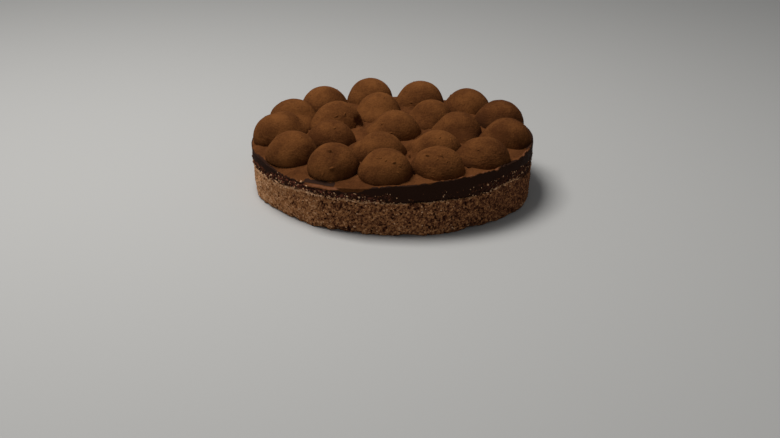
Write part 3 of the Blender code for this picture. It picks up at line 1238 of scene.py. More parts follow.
@dataclass(frozen=True)
class Truffles:
    """The domes: a fine even ball, an uneven skin, chips where the cocoa was knocked."""

    cuts: int = 63
    depth: float = 6.0
    tuck: float = 2.5
    flank_start: float = 0.62
    free_bulge: float = 0.005
    joined_bulge: float = 0.06
    left_bias: float = 0.6
    uneven: float = 0.28
    uneven_scale: float = 1.4
    dimple: float = 0.10
    dimple_scale: float = 5.0
    pimple: float = 0.05
    pimple_scale: float = 19.0
    wrinkle_scales: tuple[float, float] = (6.0, 22.0)
    shoulder_gain: float = 4.0
    stray_depths: tuple[float, float] = (0.2, 0.4)
    crowd_gap: float = 13.0
    crowd_height: float = 0.75
    # painted shade: darkens the cocoa low on the flanks where a neighbour stands close
    crevice_painted_shade: float = 0.8
    stray_chips: int = 4
    seed: int = 21

    def ball(self) -> bmesh.types.BMesh:
        """Makes an even ball of radius 1 from a cube.

        Returns:
            The ball.
        """
        bm = bmesh.new()
        bmesh.ops.create_cube(bm, size=2.0)
        bmesh.ops.subdivide_edges(bm, edges=bm.edges[:], cuts=self.cuts, use_grid_fill=True)
        for vert in bm.verts:
            vert.co = Vector([math.tan(side * math.pi / 4.0) for side in vert.co]).normalized()
        return bm

    def chips(self, place: TrufflePlace) -> list[Chip]:
        """Collects a truffle's marks: the known ones and a few stray ones.

        Args:
            place: the truffle.

        Returns:
            The marks.
        """
        draw = random.Random(self.seed + place.seed)
        found = list(MARKS.get(place.node, ()))
        for _ in range(self.stray_chips):
            length = draw.uniform(0.5, 1.1)
            turn = draw.uniform(-90.0, 90.0)
            spot = (draw.uniform(-180.0, 180.0), draw.uniform(0.0, 80.0))
            found.append(Chip(*spot, length, 0.6 * length, draw.uniform(*self.stray_depths), turn))
        return found

    def crevice_shade_mask(self, place: TrufflePlace, points: np.ndarray, places: list[TrufflePlace]) -> np.ndarray:
        """Finds where neighbours stand close, for the painted shade low on the flank between truffles.

        Args:
            place: the truffle.
            points: unit directions, one in each row.
            places: every truffle.

        Returns:
            1 in the directions low on the flank where a neighbour stands close, and 0 elsewhere.
        """
        flat = points[:, :2] / np.maximum(np.hypot(points[:, 0], points[:, 1]), 1e-6)[:, None]
        spots = np.array(place.centre.xy) + place.radius * flat
        others = [one for one in places if one.node != place.node]
        gaps = [np.hypot(*(spots - np.array(one.centre.xy)).T) - one.radius for one in others]
        low = np.clip((self.crowd_height - points[:, 2]) / self.crowd_height, 0.0, 1.0)
        return low * np.clip(1.0 - np.min(gaps, axis=0) / self.crowd_gap, 0.0, 1.0)

    def skin(
        self, place: TrufflePlace, points: np.ndarray, places: list[TrufflePlace]
    ) -> tuple[np.ndarray, np.ndarray]:
        """Works out a truffle's skin.

        Args:
            place: the truffle.
            points: unit directions, one in each row.
            places: every truffle.

        Returns:
            The distance of the skin in each direction, and how bare it is, with painted shade low between
            close neighbours, and painted shade and highlight at the chips.
        """
        seed = Vector((place.seed, 0.0, 0.0))
        wrinkle = WRINKLES.get(place.node, 0.0)
        wide, narrow = self.wrinkle_scales
        reach = np.empty(len(points))
        for number, point in enumerate(points):
            way = Vector(point)
            broad = self.uneven * noise.noise(way * self.uneven_scale + seed)
            fine = self.dimple * noise.noise(way * self.dimple_scale + seed)
            fine += self.pimple * noise.noise(way * self.pimple_scale + seed)
            level = Vector((way.x * wide, way.y * wide, way.z * narrow))
            full = total(FULL_SHOULDERS.get(place.node, ()), angle_of(way))
            full *= self.shoulder_gain * place.radius * max(way.z * (1.0 - way.z), 0.0)
            reach[number] = place.radius + broad + fine + full + wrinkle * noise.noise(level + seed)
        # the bare value also takes the painted shade between close truffles
        bare = TRUFFLE_DARKENING.get(place.node, 0.0) + self.crevice_painted_shade * self.crevice_shade_mask(place, points, places)
        for chip in self.chips(place):
            rise, bare_and_painted_light = chip.cut(points, place.radius)
            reach += rise
            bare += bare_and_painted_light
        if place.node in BROKEN_SIDES:
            fall, bare_and_painted_light = self.broken(BROKEN_SIDES[place.node], points)
            reach -= fall
            bare = np.maximum(bare, bare_and_painted_light)
        return reach, bare

    def broken(self, side: Crumbling, points: np.ndarray) -> tuple[np.ndarray, np.ndarray]:
        """Works out a crumbled side over a truffle's skin.

        Args:
            side: the crumbled side.
            points: unit directions of the skin's points, one in each row.

        Returns:
            How far each point moves in, and how bare it becomes.
        """
        middle = np.array(direction(side.azimuth, side.elevation))
        away = np.degrees(np.arccos(np.clip(points @ middle, -1.0, 1.0)))
        ragged = np.array([noise.fractal(Vector(point) * 5.0, 1.0, 2.0, 2) for point in points])
        share = np.clip((side.spread + 3.5 * ragged - away) / side.spread, 0.0, 1.0)
        share = share * share * (3.0 - 2.0 * share)
        crags = np.array([noise.noise(Vector(point) * 6.0) for point in points])
        return share * side.depth * (1.0 + 0.35 * crags), share * (0.10 - 0.4 * crags)

    def seat(self, place: TrufflePlace) -> float:
        """Works out where a truffle's hidden foot ends below the surface.

        Args:
            place: the truffle.

        Returns:
            The height at which it is cut off.
        """
        middle = place.centre
        spots = [middle] + [middle + on_circle(turn, 0.9 * place.radius, 0.0) for turn in range(0, 360, 20)]
        lowest = min(SHAPE.surface_height(angle_of(spot), math.hypot(spot.x, spot.y)) for spot in spots)
        return max(lowest - 0.8, middle.z - 0.93 * self.depth)

    def stand(self, place: TrufflePlace, way: Vector, distance: float) -> Vector:
        """Works out where a point of the ball's skin lies once the foot is shaped.

        Args:
            place: the truffle.
            way: direction from its centre.
            distance: how far the skin of the plain ball lies.

        Returns:
            The point from the truffle's centre: on the ball above, on a fuller flank lower down, most
            where the foot is joined to its surroundings, and tucked in below the widest ring.
        """
        flat = math.hypot(way.x, way.y)
        if way.z >= self.flank_start:
            return way * distance
        bulge = self.free_bulge + (self.joined_bulge - self.free_bulge) * place.joined(way)
        bulge *= 1.0 - self.left_bias * way.x / max(flat, 1e-6)
        bulge += total(WIDE_FEET.get(place.node, ()), angle_of(way))
        bulge *= 1.0 - smooth_step(way.z, 0.0, self.flank_start)
        if way.z < 0.0:
            tuck = 2.0 / self.tuck
            across, height = (1.0 + bulge) * flat**tuck, -self.depth * abs(way.z) ** tuck
        else:
            across, height = flat + bulge, way.z * distance
        spread = distance * across / max(flat, 1e-6)
        return Vector((way.x * spread, way.y * spread, height))

    def build_one(
        self,
        ball: bmesh.types.BMesh,
        place: TrufflePlace,
        places: list[TrufflePlace],
        material: bpy.types.Material,
    ) -> None:
        """Builds one truffle in place of its solid.

        Args:
            ball: the even ball, which is copied.
            place: where it stands.
            places: every truffle.
            material: the cocoa's finish.
        """
        bm = ball.copy()
        bare = bm.verts.layers.float.new("bare")
        points = np.array([vert.co[:] for vert in bm.verts])
        reach, bare_and_painted_light = self.skin(place, points, places)
        for vert, distance, share in zip(bm.verts, reach, bare_and_painted_light):
            vert.co = place.centre + self.stand(place, vert.co, distance)
            vert[bare] = share
        geometry = bm.verts[:] + bm.edges[:] + bm.faces[:]
        seat = (0.0, 0.0, self.seat(place))
        down = (0.0, 0.0, -1.0)
        cut = bmesh.ops.bisect_plane(bm, geom=geometry, plane_co=seat, plane_no=down, clear_outer=True)
        rim = [item for item in cut["geom_cut"] if isinstance(item, bmesh.types.BMEdge)]
        bmesh.ops.holes_fill(bm, edges=rim, sides=0)
        add_piece(f"dusted_{place.node}", bm, material, Slot.COCOA, place.node)

    def build(self, places: list[TrufflePlace], material: bpy.types.Material) -> None:
        """Builds every truffle.

        Args:
            places: where they stand.
            material: the cocoa's finish.
        """
        ball = self.ball()
        for place in places:
            self.build_one(ball, place, places, material)
        ball.free()


# ---------------------------------------------------------------- ganache layer


@dataclass(frozen=True)
class Ridge:
    """A raised fold of the cocoa-covered top between truffles."""

    x: float
    y: float
    heading: float
    length: float
    width: float
    height: float

    def at(self, place: Vector) -> float:
        """Works out the fold at a place: steep on one flank, gentle on the other.

        Args:
            place: the place.

        Returns:
            The fold's height there.
        """
        turn = math.radians(self.heading)
        x, y = place.x - self.x, place.y - self.y
        along = (x * math.cos(turn) + y * math.sin(turn)) / self.length
        across = (y * math.cos(turn) - x * math.sin(turn)) / self.width
        across *= 2.2 if across > 0.0 else 1.0
        return self.height * math.exp(-2.0 * (along**2 + across**2))


@dataclass(frozen=True)
class BareRim:
    """A stretch of the rim where little cocoa lies outside a radius."""

    stretch: Stretch
    radius: float
    share: float

    def at(self, angle: float, radius: float) -> float:
        """Returns how much of the cocoa is missing at a spot of the top."""
        return self.share * self.stretch.at(angle) * smooth_step(radius - self.radius, -0.4, 0.4)


@dataclass(frozen=True)
class GanacheLayer:
    """The ganache: a smooth dark side, a rough soaked band, and a cocoa-covered top with torn edges."""

    spokes: int = 960
    side_rings: int = 22
    rim_round: float = 0.9
    rim_turns: tuple[float, ...] = (22.0, 45.0, 67.0, 90.0)
    overlap: float = 1.0
    top_step: float = 0.85
    halvings: tuple[float, ...] = (60.0, 30.0, 12.0)
    seam_radius: float = 60.0
    seam_inset: float = 1.2
    middle: float = 2.5
    skirt_height: float = 2.6
    skirt_width: float = 4.4
    skirt_core: float = 0.2
    skirt_blend: float = 0.6
    skirt_bias: float = 0.75
    skirt_patch: float = 7.0
    skirt_patchiness: float = 0.25
    moat_depth: float = 1.0
    moat_width: float = 0.4
    moat_stretch: Stretch = Stretch(-138.0, 48.0, 8.0)
    fold_height: float = 0.45
    fold_size: float = 6.0
    powder_grain: float = 0.14
    powder_grain_size: float = 1.7
    side_wave: float = 0.35
    side_wave_pace: float = 6.0
    side_wave_size: float = 6.0
    ripple: float = 0.12
    ripple_width: float = 1.6
    ripple_length: float = 14.0
    side_grain: float = 0.08
    side_grain_size: float = 1.4
    grain_size: float = 1.7
    grain_height: float = 0.75
    soaked: tuple[Stretch, ...] = (
        Stretch(-133.0, 42.0),
        Stretch(-38.0, 20.0),
        Stretch(38.0, 26.0),
        Stretch(150.0, 18.0),
    )
    soak_wave: float = 1.2
    soak_pace: float = 14.0
    high_soak: Stretch = Stretch(-134.0, 9.0, 5.0)
    red_soak: Stretch = Stretch(-135.0, 45.0, 10.0)
    ledge: Stretch = Stretch(-116.5, 8.0, 2.5)
    ledge_out: float = 2.2
    ledge_drop: float = 0.3
    ledge_run: float = 1.6
    patch: Stretch = Stretch(-105.5, 5.5, 2.0)
    patch_out: float = 1.4
    patch_hang: float = 2.6
    step_back: float = 0.7
    step_height: float = 2.6
    gap_depth: float = 0.9
    gap_pace: float = 22.0
    gaps: Stretch = Stretch(-62.0, 24.0)
    bare_rims: tuple[BareRim, ...] = (
        BareRim(Stretch(-150.0, 10.0, 4.0), 94.7, 0.77),
        BareRim(Stretch(7.0, 25.0, 3.0), 90.8, 0.62),
        BareRim(Stretch(-38.5, 6.0, 2.0), 91.3, 0.85),
    )
    ragged_rim: Stretch = Stretch(-25.0, 45.0)
    ragged_height: float = 1.2
    least_tear: float = 0.2
    tear: float = 2.2
    tear_size: float = 5.0
    fringe: float = 0.6
    fringe_size: float = 1.8
    lip_width: float = 1.5
    # painted highlight on the torn lip
    lip_highlight: float = 0.45
    top_dust: float = 1.0
    bare_dust: float = -0.3
    torn_patch: Stretch = Stretch(-24.0, 4.0, 2.0)
    shelter: float = 6.7
    shelterers: tuple[str, ...] = ("truffle_outer_03",)
    ridges: tuple[Ridge, ...] = (
        Ridge(10.0, -30.0, -35.0, 9.0, 3.0, 2.6),
        Ridge(11.5, -43.0, 80.0, 5.0, 2.6, -2.6),
        Ridge(-20.8, -71.0, 75.0, 7.0, 1.6, -4.0),
        Ridge(12.5, -71.5, 100.0, 7.0, 1.6, -5.0),
        Ridge(44.3, -59.0, 123.0, 7.0, 2.0, -4.0),
        Ridge(-20.0, 0.0, -60.0, 12.0, 7.0, 3.0),
        Ridge(-23.0, -90.0, -14.0, 9.0, 3.5, 1.4),
        Ridge(-25.0, 8.0, 40.0, 8.0, 1.4, 1.5),
        Ridge(-20.0, 6.0, 50.0, 6.0, 1.2, 1.1),
        Ridge(14.0, -52.0, 20.0, 5.0, 2.0, 1.2),
        Ridge(40.0, 12.0, -60.0, 8.0, 2.0, 1.2),
        Ridge(22.0, 22.0, 15.0, 7.0, 1.8, 1.1),
        Ridge(-18.0, 52.0, 30.0, 8.0, 1.8, 1.2),
    )

    def soaked_top(self, angle: float) -> float:
        """Works out how high the rough soaked band reaches.

        Args:
            angle: angle of the spot.

        Returns:
            The height of its upper edge.
        """
        low, rim = SHAPE.crumb_height(angle), SHAPE.rim_height(angle)
        share = 0.5 + 0.4 * self.high_soak.at(angle)
        return low + share * (rim - low) + self.soak_wave * around(angle, self.soak_pace, Pattern.SOAK)

    def soak(self, angle: float, height: float) -> float:
        """Returns how soaked and rough a spot of the side is, from 0 to 1."""
        band = total(self.soaked, angle) * smooth_step(self.soaked_top(angle) - height, -0.5, 0.6)
        return max(band, self.below_ledge(angle, height))

    def recess(self, angle: float, height: float) -> float:
        """Works out how far the side steps back over the crumb's top edge, most in the gaps at the front.

        Args:
            angle: angle of the spot.
            height: its height.

        Returns:
            The depth of the step.
        """
        gap = self.gap_depth * smooth_step(around(angle, self.gap_pace, Pattern.TEAR), -0.1, 0.25)
        depth = self.step_back + gap * self.gaps.at(angle)
        return depth * smooth_step(SHAPE.crumb_height(angle) + self.step_height - height, 0.0, 1.8)

    def below_ledge(self, angle: float, height: float) -> float:
        """Returns 1 on the crumb that stands out under the ledge at the front left."""
        top = SHAPE.rim_height(angle) - self.ledge_drop
        return self.ledge.at(angle) * smooth_step(top - height, self.ledge_run - 0.3, self.ledge_run + 0.3)

    def ledge_slant(self, angle: float, height: float) -> float:
        """Works out the ledge, which slants out and then drops back a little.

        Args:
            angle: angle of the spot.
            height: its height.

        Returns:
            How far it stands out there.
        """
        below = SHAPE.rim_height(angle) - self.ledge_drop - height
        slant = min(max(below / self.ledge_run, 0.0), 1.0)
        slant -= 0.5 * smooth_step(below, self.ledge_run, self.ledge_run + 0.6)
        return self.ledge_out * self.ledge.at(angle) * slant

    def side_relief(self, angle: float, height: float) -> tuple[float, float]:
        """Works out the relief of the side.

        Args:
            angle: angle of the spot.
            height: its height.

        Returns:
            How far the side stands out there, and its tone from 0, bare ganache, to 1, pale crumb.
        """
        place = on_circle(angle, SHAPE.foot_radius, height)
        broad = on_circle(angle, self.side_wave_pace, height / self.side_wave_size)
        upright = on_circle(angle, SHAPE.foot_radius / self.ripple_width, height / self.ripple_length)
        smooth = self.side_wave * noise.noise(broad) + self.ripple * noise.noise(upright)
        smooth += self.side_grain * noise.noise(place / self.side_grain_size)
        dome, chance = packed_grain(place, self.grain_size, 13.0)
        rough = self.grain_height * (dome * (0.5 + chance) - 0.7)
        soak = self.soak(angle, height)
        tone = soak * smooth_step(chance, 0.35 - 0.35 * self.high_soak.at(angle), 1.0) * dome
        tone *= 0.3 + 0.7 * self.red_soak.at(angle)
        below = SHAPE.rim_height(angle) - height
        patch = self.patch_out * self.patch.at(angle) * smooth_step(below, 4.4, 2.4)
        out = smooth + soak * rough + max(self.ledge_slant(angle, height), patch)
        return out - self.recess(angle, height), tone

    def seam_level(self, angle: float) -> Vector:
        """Returns the point of the innermost ring of the underside at an angle."""
        height = SHAPE.seam_height(angle, self.seam_radius) + SHAPE.gap
        return on_circle(angle, self.seam_radius, height)

    def side_level(self, part: float, inset: float = 0.0) -> Level:
        """Makes a level at a share of the way from the crumb up to the rim.

        Args:
            part: the share.
            inset: how far the level lies inside the side.

        Returns:
            The level.
        """

        def level(angle: float) -> Vector:
            """Returns the point at an angle."""
            low = SHAPE.crumb_height(angle) + SHAPE.gap
            return SHAPE.on_side(angle, low + part * (SHAPE.rim_height(angle) - low), inset)

        return level

    def rim_level(self, turn: float) -> Level:
        """Makes a level on the rounded rim.

        Args:
            turn: how far round the rim it lies, from 0 at the side to 90 on top.

        Returns:
            The level.
        """
        inset = self.rim_round * (1.0 - math.cos(math.radians(turn)))
        drop = self.rim_round * (1.0 - math.sin(math.radians(turn)))
        return lambda angle: SHAPE.on_side(angle, SHAPE.rim_height(angle) - drop, inset)

    def top_relief(self, place: Vector, truffles: list[TrufflePlace]) -> float:
        """Works out the relief of the top.

        Args:
            place: a point of the plain top.
            truffles: the truffles that stand on it.

        Returns:
            How far the top rises there: folds, powder heaped against the truffles, and grain.
        """
        fold = 1.0 - 2.0 * abs(noise.noise(place / self.fold_size))
        rise = self.fold_height * (fold - 0.4)
        rise += self.powder_grain * noise.noise(place / self.powder_grain_size)
        rise += sum(ridge.at(place) for ridge in self.ridges)
        near = [one for one in truffles if (place - one.centre).to_2d().length < one.radius + 6.0]
        skirts = [math.exp(self.skirt(place, truffle) / self.skirt_blend) for truffle in near]
        rise += self.skirt_blend * math.log(sum(skirts) - len(skirts) + 1.0)
        return rise - max((self.moat(place, truffle) for truffle in near), default=0.0)

    def moat(self, place: Vector, truffle: TrufflePlace) -> float:
        """Works out the hollow of the top under a truffle's free foot.

        Args:
            place: a point of the plain top.
            truffle: the truffle.

        Returns:
            The depth of the hollow there.
        """
        way = (place - truffle.centre).to_2d().to_3d()
        off = (way.length - truffle.radius - 0.2) / self.moat_width
        free = (1.0 - truffle.joined(way)) * self.moat_stretch.at(angle_of(place))
        return self.moat_depth * free * math.exp(-(off**2))

    def skirt(self, place: Vector, truffle: TrufflePlace) -> float:
        """Works out the powder heaped against one truffle, most on its inner side.

        Args:
            place: a point of the plain top.
            truffle: the truffle.

        Returns:
            How high the powder lies there.
        """
        x, y = place.x - truffle.centre.x, place.y - truffle.centre.y
        away = math.hypot(x, y)
        off = max(away - truffle.radius - self.skirt_core, 0.0)
        if off > self.skirt_width:
            return 0.0
        uneven = 0.95 + self.skirt_patchiness * noise.noise(Vector((x, y, truffle.seed)) / self.skirt_patch)
        uneven *= 1.0 - self.skirt_bias * x / max(away, 1e-6)
        strength = truffle.joined(Vector((x, y, 0.0))) * uneven
        return self.skirt_height * strength * (1.0 - off / self.skirt_width) ** 2

    def torn(self, angle: float) -> float:
        """Works out the cocoa's torn edge.

        Args:
            angle: angle of the spot.

        Returns:
            How far the edge hangs below the rim.
        """
        tear = around(angle, SHAPE.foot_radius / self.tear_size, Pattern.TEAR)
        fringe = around(angle, SHAPE.foot_radius / self.fringe_size, Pattern.FRINGE)
        return self.least_tear + self.tear * max(tear, -0.1) + self.fringe * fringe

    def torn_lip_highlight(self, angle: float, radius: float) -> float:
        """Finds the lip that the torn cocoa leaves along the rim at the right, painted pale as a highlight.

        Args:
            angle: angle of the spot.
            radius: how far it lies from the axis.

        Returns:
            1 on the lip, and 0 away from it.
        """
        crest = SHAPE.side_radius(angle, SHAPE.rim_level) - self.lip_width
        fray = around(angle, SHAPE.foot_radius / 3.0, Pattern.LIP)
        torn = max(smooth_step(fray, -0.15, 0.25), self.torn_patch.at(angle))
        return self.ragged_rim.at(angle) * smooth_step(radius - crest, -0.5, 0.3) * torn

    def sheltered(self, angle: float, radius: float, outer: list[TrufflePlace]) -> float:
        """Finds the strip of rim right in front of an outer truffle, where no cocoa fell.

        Args:
            angle: angle of the spot.
            radius: how far it lies from the axis.
            outer: the truffles next to the rim.

        Returns:
            1 on the strip, and 0 away from it.
        """
        truffle = min(outer, key=lambda one: abs(away_from(angle, angle_of(one.centre))))
        if truffle.node not in self.shelterers:
            return 0.0
        reach = truffle.centre.to_2d().length + truffle.radius
        arc = abs(away_from(angle, angle_of(truffle.centre)))
        fray = around(angle, SHAPE.foot_radius / 2.5, Pattern.EDGE)
        width = self.shelter * (1.0 + 0.25 * fray)
        return smooth_step(width - arc, -1.0, 1.0) * smooth_step(radius - reach + 0.9 + 0.5 * fray, -0.4, 0.4)

    def dust_and_highlight(self, vert: bmesh.types.BMVert, station: float, outer: list[TrufflePlace]) -> float:
        """Works out how much cocoa lies on a point of the layer.

        Args:
            vert: the point.
            station: how far it lies along the profile.
            outer: the truffles next to the rim.

        Returns:
            1 on top and on ledges, 0 on the side and where a truffle sheltered the rim, over 1 where a
            painted highlight lies on the ledge and the torn lip.
        """
        angle, height = angle_of(vert.co), vert.co.z
        radius = math.hypot(vert.co.x, vert.co.y)
        open_sky = self.open_sky(angle, radius, outer)
        # painted highlight on the torn lip
        highlight = self.lip_highlight * self.torn_lip_highlight(angle, radius)
        if station >= 2.0:
            return self.bare_dust + (self.top_dust - self.bare_dust + highlight) * open_sky
        below = SHAPE.rim_height(angle) - height
        patch = self.patch.at(angle)
        hang = self.torn(angle) + patch * self.patch_hang
        edge = (1.0 + highlight) * smooth_step(hang - below, -0.3, 0.3) * max(open_sky, patch)
        return max(edge, self.ledge_dust_and_highlight(angle, height, below))

    def open_sky(self, angle: float, radius: float, outer: list[TrufflePlace]) -> float:
        """Works out how much of the cocoa reaches a spot.

        Args:
            angle: angle of the spot.
            radius: how far it lies from the axis.
            outer: the truffles next to the rim.

        Returns:
            1 away from the rim, and less on its bare stretches.
        """
        if radius <= SHAPE.shoulder_radius - 4.0:
            return 1.0
        fray = 0.6 * around(angle, SHAPE.foot_radius / 3.0, Pattern.BARE)
        bare = max(rim.at(angle, radius + fray) for rim in self.bare_rims)
        return 1.0 - max(self.sheltered(angle, radius, outer), bare)

    def ledge_dust_and_highlight(self, angle: float, height: float, below: float) -> float:
        """Works out the cocoa on the ledge, and the painted highlight on it.

        Args:
            angle: angle of the spot.
            height: its height.
            below: how far it lies below the rim.

        Returns:
            How much cocoa lies there, 0 away from the ledge.
        """
        fray = 0.7 * around(angle, SHAPE.foot_radius / 2.0, Pattern.LEDGE)
        ledge = self.ledge.at(angle) * smooth_step(self.ledge_drop + self.ledge_run + fray - below, -0.3, 0.3)
        highlight = around(angle, SHAPE.foot_radius / 2.2, Pattern.HEAP, height)
        # painted highlight on the ledge, strongest near its top
        ledge *= 1.4 + 0.35 * highlight - 0.3 * smooth_step(below, 0.8, self.ledge_run + 0.6)
        return ledge * smooth_step(below, self.ledge_drop - 0.3, self.ledge_drop + 0.2)

    def grow_rings(self) -> RingMesh:
        """Makes the plain layer, whose stations run from 0 at the seam over 1 at the rim to 2 on top.

        Returns:
            The rings, closed at both poles.
        """
        rings = RingMesh(self.spokes, ("dust_and_highlight", "tone"))
        rings.place_ring(self.seam_level, -1.0)
        rings.grow(self.side_level(0.0, self.seam_inset), -1.0)
        rim_start = 1.0 - 1.0 / self.side_rings
        for index in range(self.side_rings):
            rings.grow(self.side_level(rim_start * index / (self.side_rings - 1.0)), index / self.side_rings)
        for turn in self.rim_turns:
            rings.grow(self.rim_level(turn), 1.0 + turn / 90.0)
        radius = SHAPE.foot_radius + self.overlap
        halvings = list(self.halvings)
        while radius > self.middle:
            rings.grow(self.top_level(radius), 2.0)
            radius -= self.top_step
            if halvings and radius < halvings[0]:
                rings.halve()
                halvings.pop(0)
        rings.close()
        return rings

    def top_reach(self, angle: float) -> float:
        """Returns the radius at which the top meets the rounded rim."""
        return SHAPE.side_radius(angle, SHAPE.rim_level) - self.rim_round - 0.4

    def top_level(self, radius: float) -> Level:
        """Makes a level on a circle of the top, which leans outwards as the side does.

        Args:
            radius: the circle's radius on a cake without bulges.

        Returns:
            The level.
        """

        def level(angle: float) -> Vector:
            """Returns the point at an angle."""
            here = radius * self.top_reach(angle) / (SHAPE.foot_radius + self.overlap + self.top_step)
            return on_circle(angle, here, SHAPE.surface_height(angle, here))

        return level

    def build(self, truffles: list[TrufflePlace], material: bpy.types.Material) -> None:
        """Builds the layer in place of its solid.

        Args:
            truffles: the truffles that stand on it.
            material: the ganache's finish.
        """
        rings = self.grow_rings()
        dust_and_highlight, tone = rings.masks
        for vert in rings.bm.verts:
            station, angle = vert[rings.station], angle_of(vert.co)
            if station < 0.0:
                continue
            if station < 2.0:
                out, vert[tone] = self.side_relief(angle, vert.co.z)
                vert.co += on_circle(angle, out * min(1.0, 2.0 - station), 0.0)
            if station > 1.0:
                inwards = smooth_step(SHAPE.foot_radius - math.hypot(vert.co.x, vert.co.y), -1.5, 2.5)
                ragged = around(angle, SHAPE.foot_radius / 2.2, Pattern.RAGGED) * self.ragged_rim.at(angle)
                vert.co.z += self.top_relief(vert.co, truffles) * (0.25 + 0.75 * inwards)
                vert.co.z += self.ragged_height * ragged * (1.0 - inwards) * min(2.0 * (station - 1.0), 1.0)
        outer = [truffle for truffle in truffles if "outer" in truffle.node]
        for vert in rings.bm.verts:
            vert[dust_and_highlight] = self.dust_and_highlight(vert, vert[rings.station], outer)
        add_piece("poured_ganache", rings.bm, material, Slot.GANACHE, "ganache_layer")

    def side_place(self, angle: float, height: float) -> Vector:
        """Returns the point of the finished side at an angle and a height."""
        out, _ = self.side_relief(angle, height)
        return SHAPE.on_side(angle, height, -out)


@dataclass(frozen=True)
class SeamGrains:
    """Pale grains along the line where ganache and crumb meet, and dark soaked ones above it."""

    pale: int = 1150
    dark: int = 2600
    large: tuple[Stretch, ...] = (Stretch(-138.0, 42.0), Stretch(-43.0, 8.0, 4.0))
    sparse: Stretch = Stretch(-5.0, 25.0, 3.0)
    spreads: tuple[float, ...] = (0.12, 0.15, 0.25)
    dark_tones: tuple[float, ...] = (0.0, 0.04, 0.08, 0.12, 0.18, 0.25, 0.4, 0.9)
    seed: int = 8

    def build(self, layer: GanacheLayer, material: bpy.types.Material) -> None:
        """Scatters both kinds of grain.

        Args:
            layer: the layer whose lower edge they cling to.
            material: the crumb's finish.
        """
        draw = random.Random(self.seed)
        pile = GrainPile("seam_grains", self.seed, "tone")
        while len(pile.places) < self.pale:
            angle = draw.uniform(-180.0, 180.0)
            crowd = around(angle, 9.0, Pattern.SEAM)
            soaked = max(stretch.at(angle) for stretch in layer.soaked)
            large = total(self.large, angle)
            sparse = 0.25 * layer.gaps.at(angle) + 0.6 * self.sparse.at(angle)
            if draw.random() > 0.2 + 0.9 * max(crowd, 0.0) + 0.3 * soaked + 0.4 * large - sparse:
                continue
            size = draw.uniform(0.45, 1.15) + 0.7 * large * draw.random() ** 3
            wide = soaked * (0.4 + 0.6 * layer.red_soak.at(angle))
            spread = draw.choice((*self.spreads, 0.3 + 0.7 * wide))
            height = SHAPE.crumb_height(angle) + draw.gauss(0.1 + spread, spread)
            place = layer.side_place(angle, height) + on_circle(angle, 0.25 * size, 0.0)
            pile.add(place, size, draw.uniform(0.72, 1.0))
        while len(pile.places) < self.pale + self.dark:
            angle = draw.uniform(-180.0, 180.0)
            if draw.random() > 0.12 + max(stretch.at(angle) for stretch in layer.soaked):
                continue
            low = SHAPE.crumb_height(angle)
            height = draw.uniform(low - 1.0, max(layer.soaked_top(angle) + 0.4, low + 0.6))
            size = 0.6 + 1.1 * draw.random() ** 2
            tone = draw.choice(self.dark_tones)
            pile.add(layer.side_place(angle, height) - on_circle(angle, 0.2 * size, 0.0), size, tone)
        pile.build(material, Slot.CRUMB)


@dataclass(frozen=True)
class CocoaCrumbs:
    """Little lumps of cocoa in the valleys and on the domes."""

    count: int = 2600
    smallest: float = 0.18
    largest: float = 0.75
    tones: tuple[float, ...] = (0.0, 0.0, 0.0, 0.2, 0.4)
    dome_share: float = 0.45
    reach: float = 91.0
    seed: int = 13

    def build(self, layer: GanacheLayer, truffles: list[TrufflePlace], material: bpy.types.Material) -> None:
        """Scatters the lumps.

        Args:
            layer: the layer that carries those in the valleys.
            truffles: the truffles, which keep them out and carry the others.
            material: the cocoa's finish.
        """
        draw = random.Random(self.seed)
        pile = GrainPile("cocoa_crumbs", self.seed, "bare")
        for truffle in truffles:
            for chip in MARKS.get(truffle.node, ()):
                for _ in range(round(5.0 * chip.length)):
                    # crumbs on the chips' lips, painted lighter as a highlight
                    pile.add(chip.lip(truffle, draw), draw.uniform(0.35, 0.75), -0.5)
        while len(pile.places) < self.count:
            size = self.smallest + (self.largest - self.smallest) * draw.random() ** 3
            tone = draw.choice(self.tones)
            if draw.random() < self.dome_share:
                truffle = draw.choice(truffles)
                level = on_circle(draw.uniform(-180.0, 180.0), 1.0, draw.uniform(0.05, 1.6))
                place = truffle.centre + level.normalized() * truffle.radius
                pile.add(place, size * 0.7, tone)
                continue
            angle, radius = draw.uniform(-180.0, 180.0), self.reach * math.sqrt(draw.random())
            place = on_circle(angle, radius, SHAPE.surface_height(angle, radius))
            nearest = min((place - one.centre).to_2d().length - one.radius for one in truffles)
            if nearest < 0.2 or draw.random() > math.exp(-nearest / 4.0):
                continue
            place.z += layer.top_relief(place, truffles)
            pile.add(place, size, tone)
        pile.build(material, Slot.COCOA)


# ---------------------------------------------------------------- studio


@dataclass(frozen=True)
class AreaLight:
    """A soft square light that looks at the cake."""

    name: str
    azimuth: float
    elevation: float
    distance: float
    size: float
    power: float
    colour: Colour = (1.0, 1.0, 1.0)

    def build(self) -> None:
        """Hangs the light and turns it to the cake."""
        data = bpy.data.lights.new(self.name, "AREA")
        data.size = self.size
        data.energy = self.power
        data.color = self.colour
        way = direction(self.azimuth, self.elevation)
        light = bpy.data.objects.new(self.name, data)
        light.location = way * self.distance
        light.rotation_euler = way.to_track_quat("Z", "Y").to_euler()
        bpy.context.scene.collection.objects.link(light)


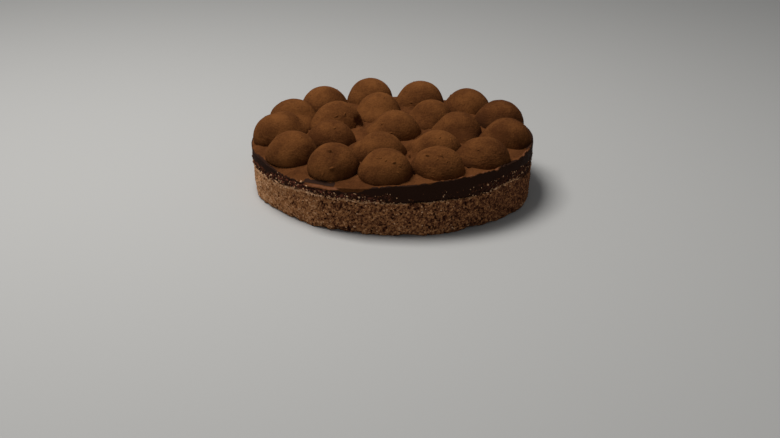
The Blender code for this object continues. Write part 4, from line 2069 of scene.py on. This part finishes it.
@dataclass(frozen=True)
class Studio:
    """A pale floor, soft lights and the camera."""

    floor_radius: float = 6.0
    floor_colour: Colour = (0.42, 0.415, 0.405)
    floor_roughness: float = 0.8
    sky: Colour = (0.95, 0.98, 1.0)
    sky_strength: float = 0.17
    lights: tuple[AreaLight, ...] = (
        AreaLight("key", 172.0, 71.0, 0.95, 0.45, 9.4, (1.0, 0.99, 0.97)),
        AreaLight("fill", -82.0, 18.0, 1.7, 1.0, 0.9, (0.88, 0.94, 1.0)),
    )
    camera_place: tuple[float, float, float] = (-0.0013, -0.7720, 0.2980)
    camera_turn: tuple[float, float, float] = (1.1720, -0.0210, 0.0086)
    lens: float = 55.38
    sensor: float = 36.0
    clip_start: float = 0.01

    def build(self) -> None:
        """Sets up the floor, the sky, the lights and the camera."""
        self.build_floor()
        world = bpy.data.worlds.new("sky")
        world.use_nodes = True
        background = world.node_tree.nodes["Background"]
        background.inputs["Color"].default_value = (*self.sky, 1.0)
        background.inputs["Strength"].default_value = self.sky_strength
        scene = bpy.context.scene
        scene.world = world
        scene.view_settings.view_transform = "Standard"
        for light in self.lights:
            light.build()
        data = bpy.data.cameras.new("camera")
        data.lens = self.lens
        data.sensor_width = self.sensor
        data.clip_start = self.clip_start
        camera = bpy.data.objects.new("camera", data)
        camera.location = self.camera_place
        camera.rotation_euler = self.camera_turn
        scene.collection.objects.link(camera)
        scene.camera = camera

    def build_floor(self) -> None:
        """Lays a plain pale floor."""
        bm = bmesh.new()
        bmesh.ops.create_circle(bm, cap_ends=True, segments=96, radius=self.floor_radius)
        mesh = bpy.data.meshes.new("floor")
        bm.to_mesh(mesh)
        bm.free()
        material = bpy.data.materials.new("floor")
        material.use_nodes = True
        shader = material.node_tree.nodes["Principled BSDF"]
        shader.inputs["Base Color"].default_value = (*self.floor_colour, 1.0)
        shader.inputs["Roughness"].default_value = self.floor_roughness
        mesh.materials.append(material)
        floor = bpy.data.objects.new("floor", mesh)
        bpy.context.scene.collection.objects.link(floor)


# ---------------------------------------------------------------- the whole


def read_truffles() -> list[TrufflePlace]:
    """Reads the place of every truffle node.

    Returns:
        The places, the outer ring first.
    """
    names = sorted(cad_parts)
    order = ("truffle_outer", "truffle_inner", "truffle_centre")
    nodes = [name for ring in order for name in names if name.startswith(ring)]
    return [TrufflePlace.read(name, 10.0 * number) for number, name in enumerate(nodes, start=1)]


def main() -> None:
    """Builds the cake from the base upwards, then the studio."""
    logging.basicConfig(level=logging.INFO, format="%(message)s")
    effects = Effects()
    crumb = CrumbFinish("baked_crumb", roughness=0.95, specular=0.05, bump_depth=0.18).make(effects)
    ganache = GanacheFinish("set_ganache", roughness=0.6, specular=0.012, bump_depth=0.2).make(effects)
    cocoa = CocoaFinish("cocoa_dust", roughness=1.0, specular=0.02, bump_depth=0.22).make(effects)
    truffles = read_truffles()
    base = CrumbBase()
    base.build(crumb)
    CrumbGrains().build(base, crumb)
    layer = GanacheLayer()
    layer.build(truffles, ganache)
    SeamGrains().build(layer, crumb)
    Truffles().build(truffles, cocoa)
    CocoaCrumbs().build(layer, truffles, cocoa)
    Studio().build()


if __name__ == "__main__":
    main()
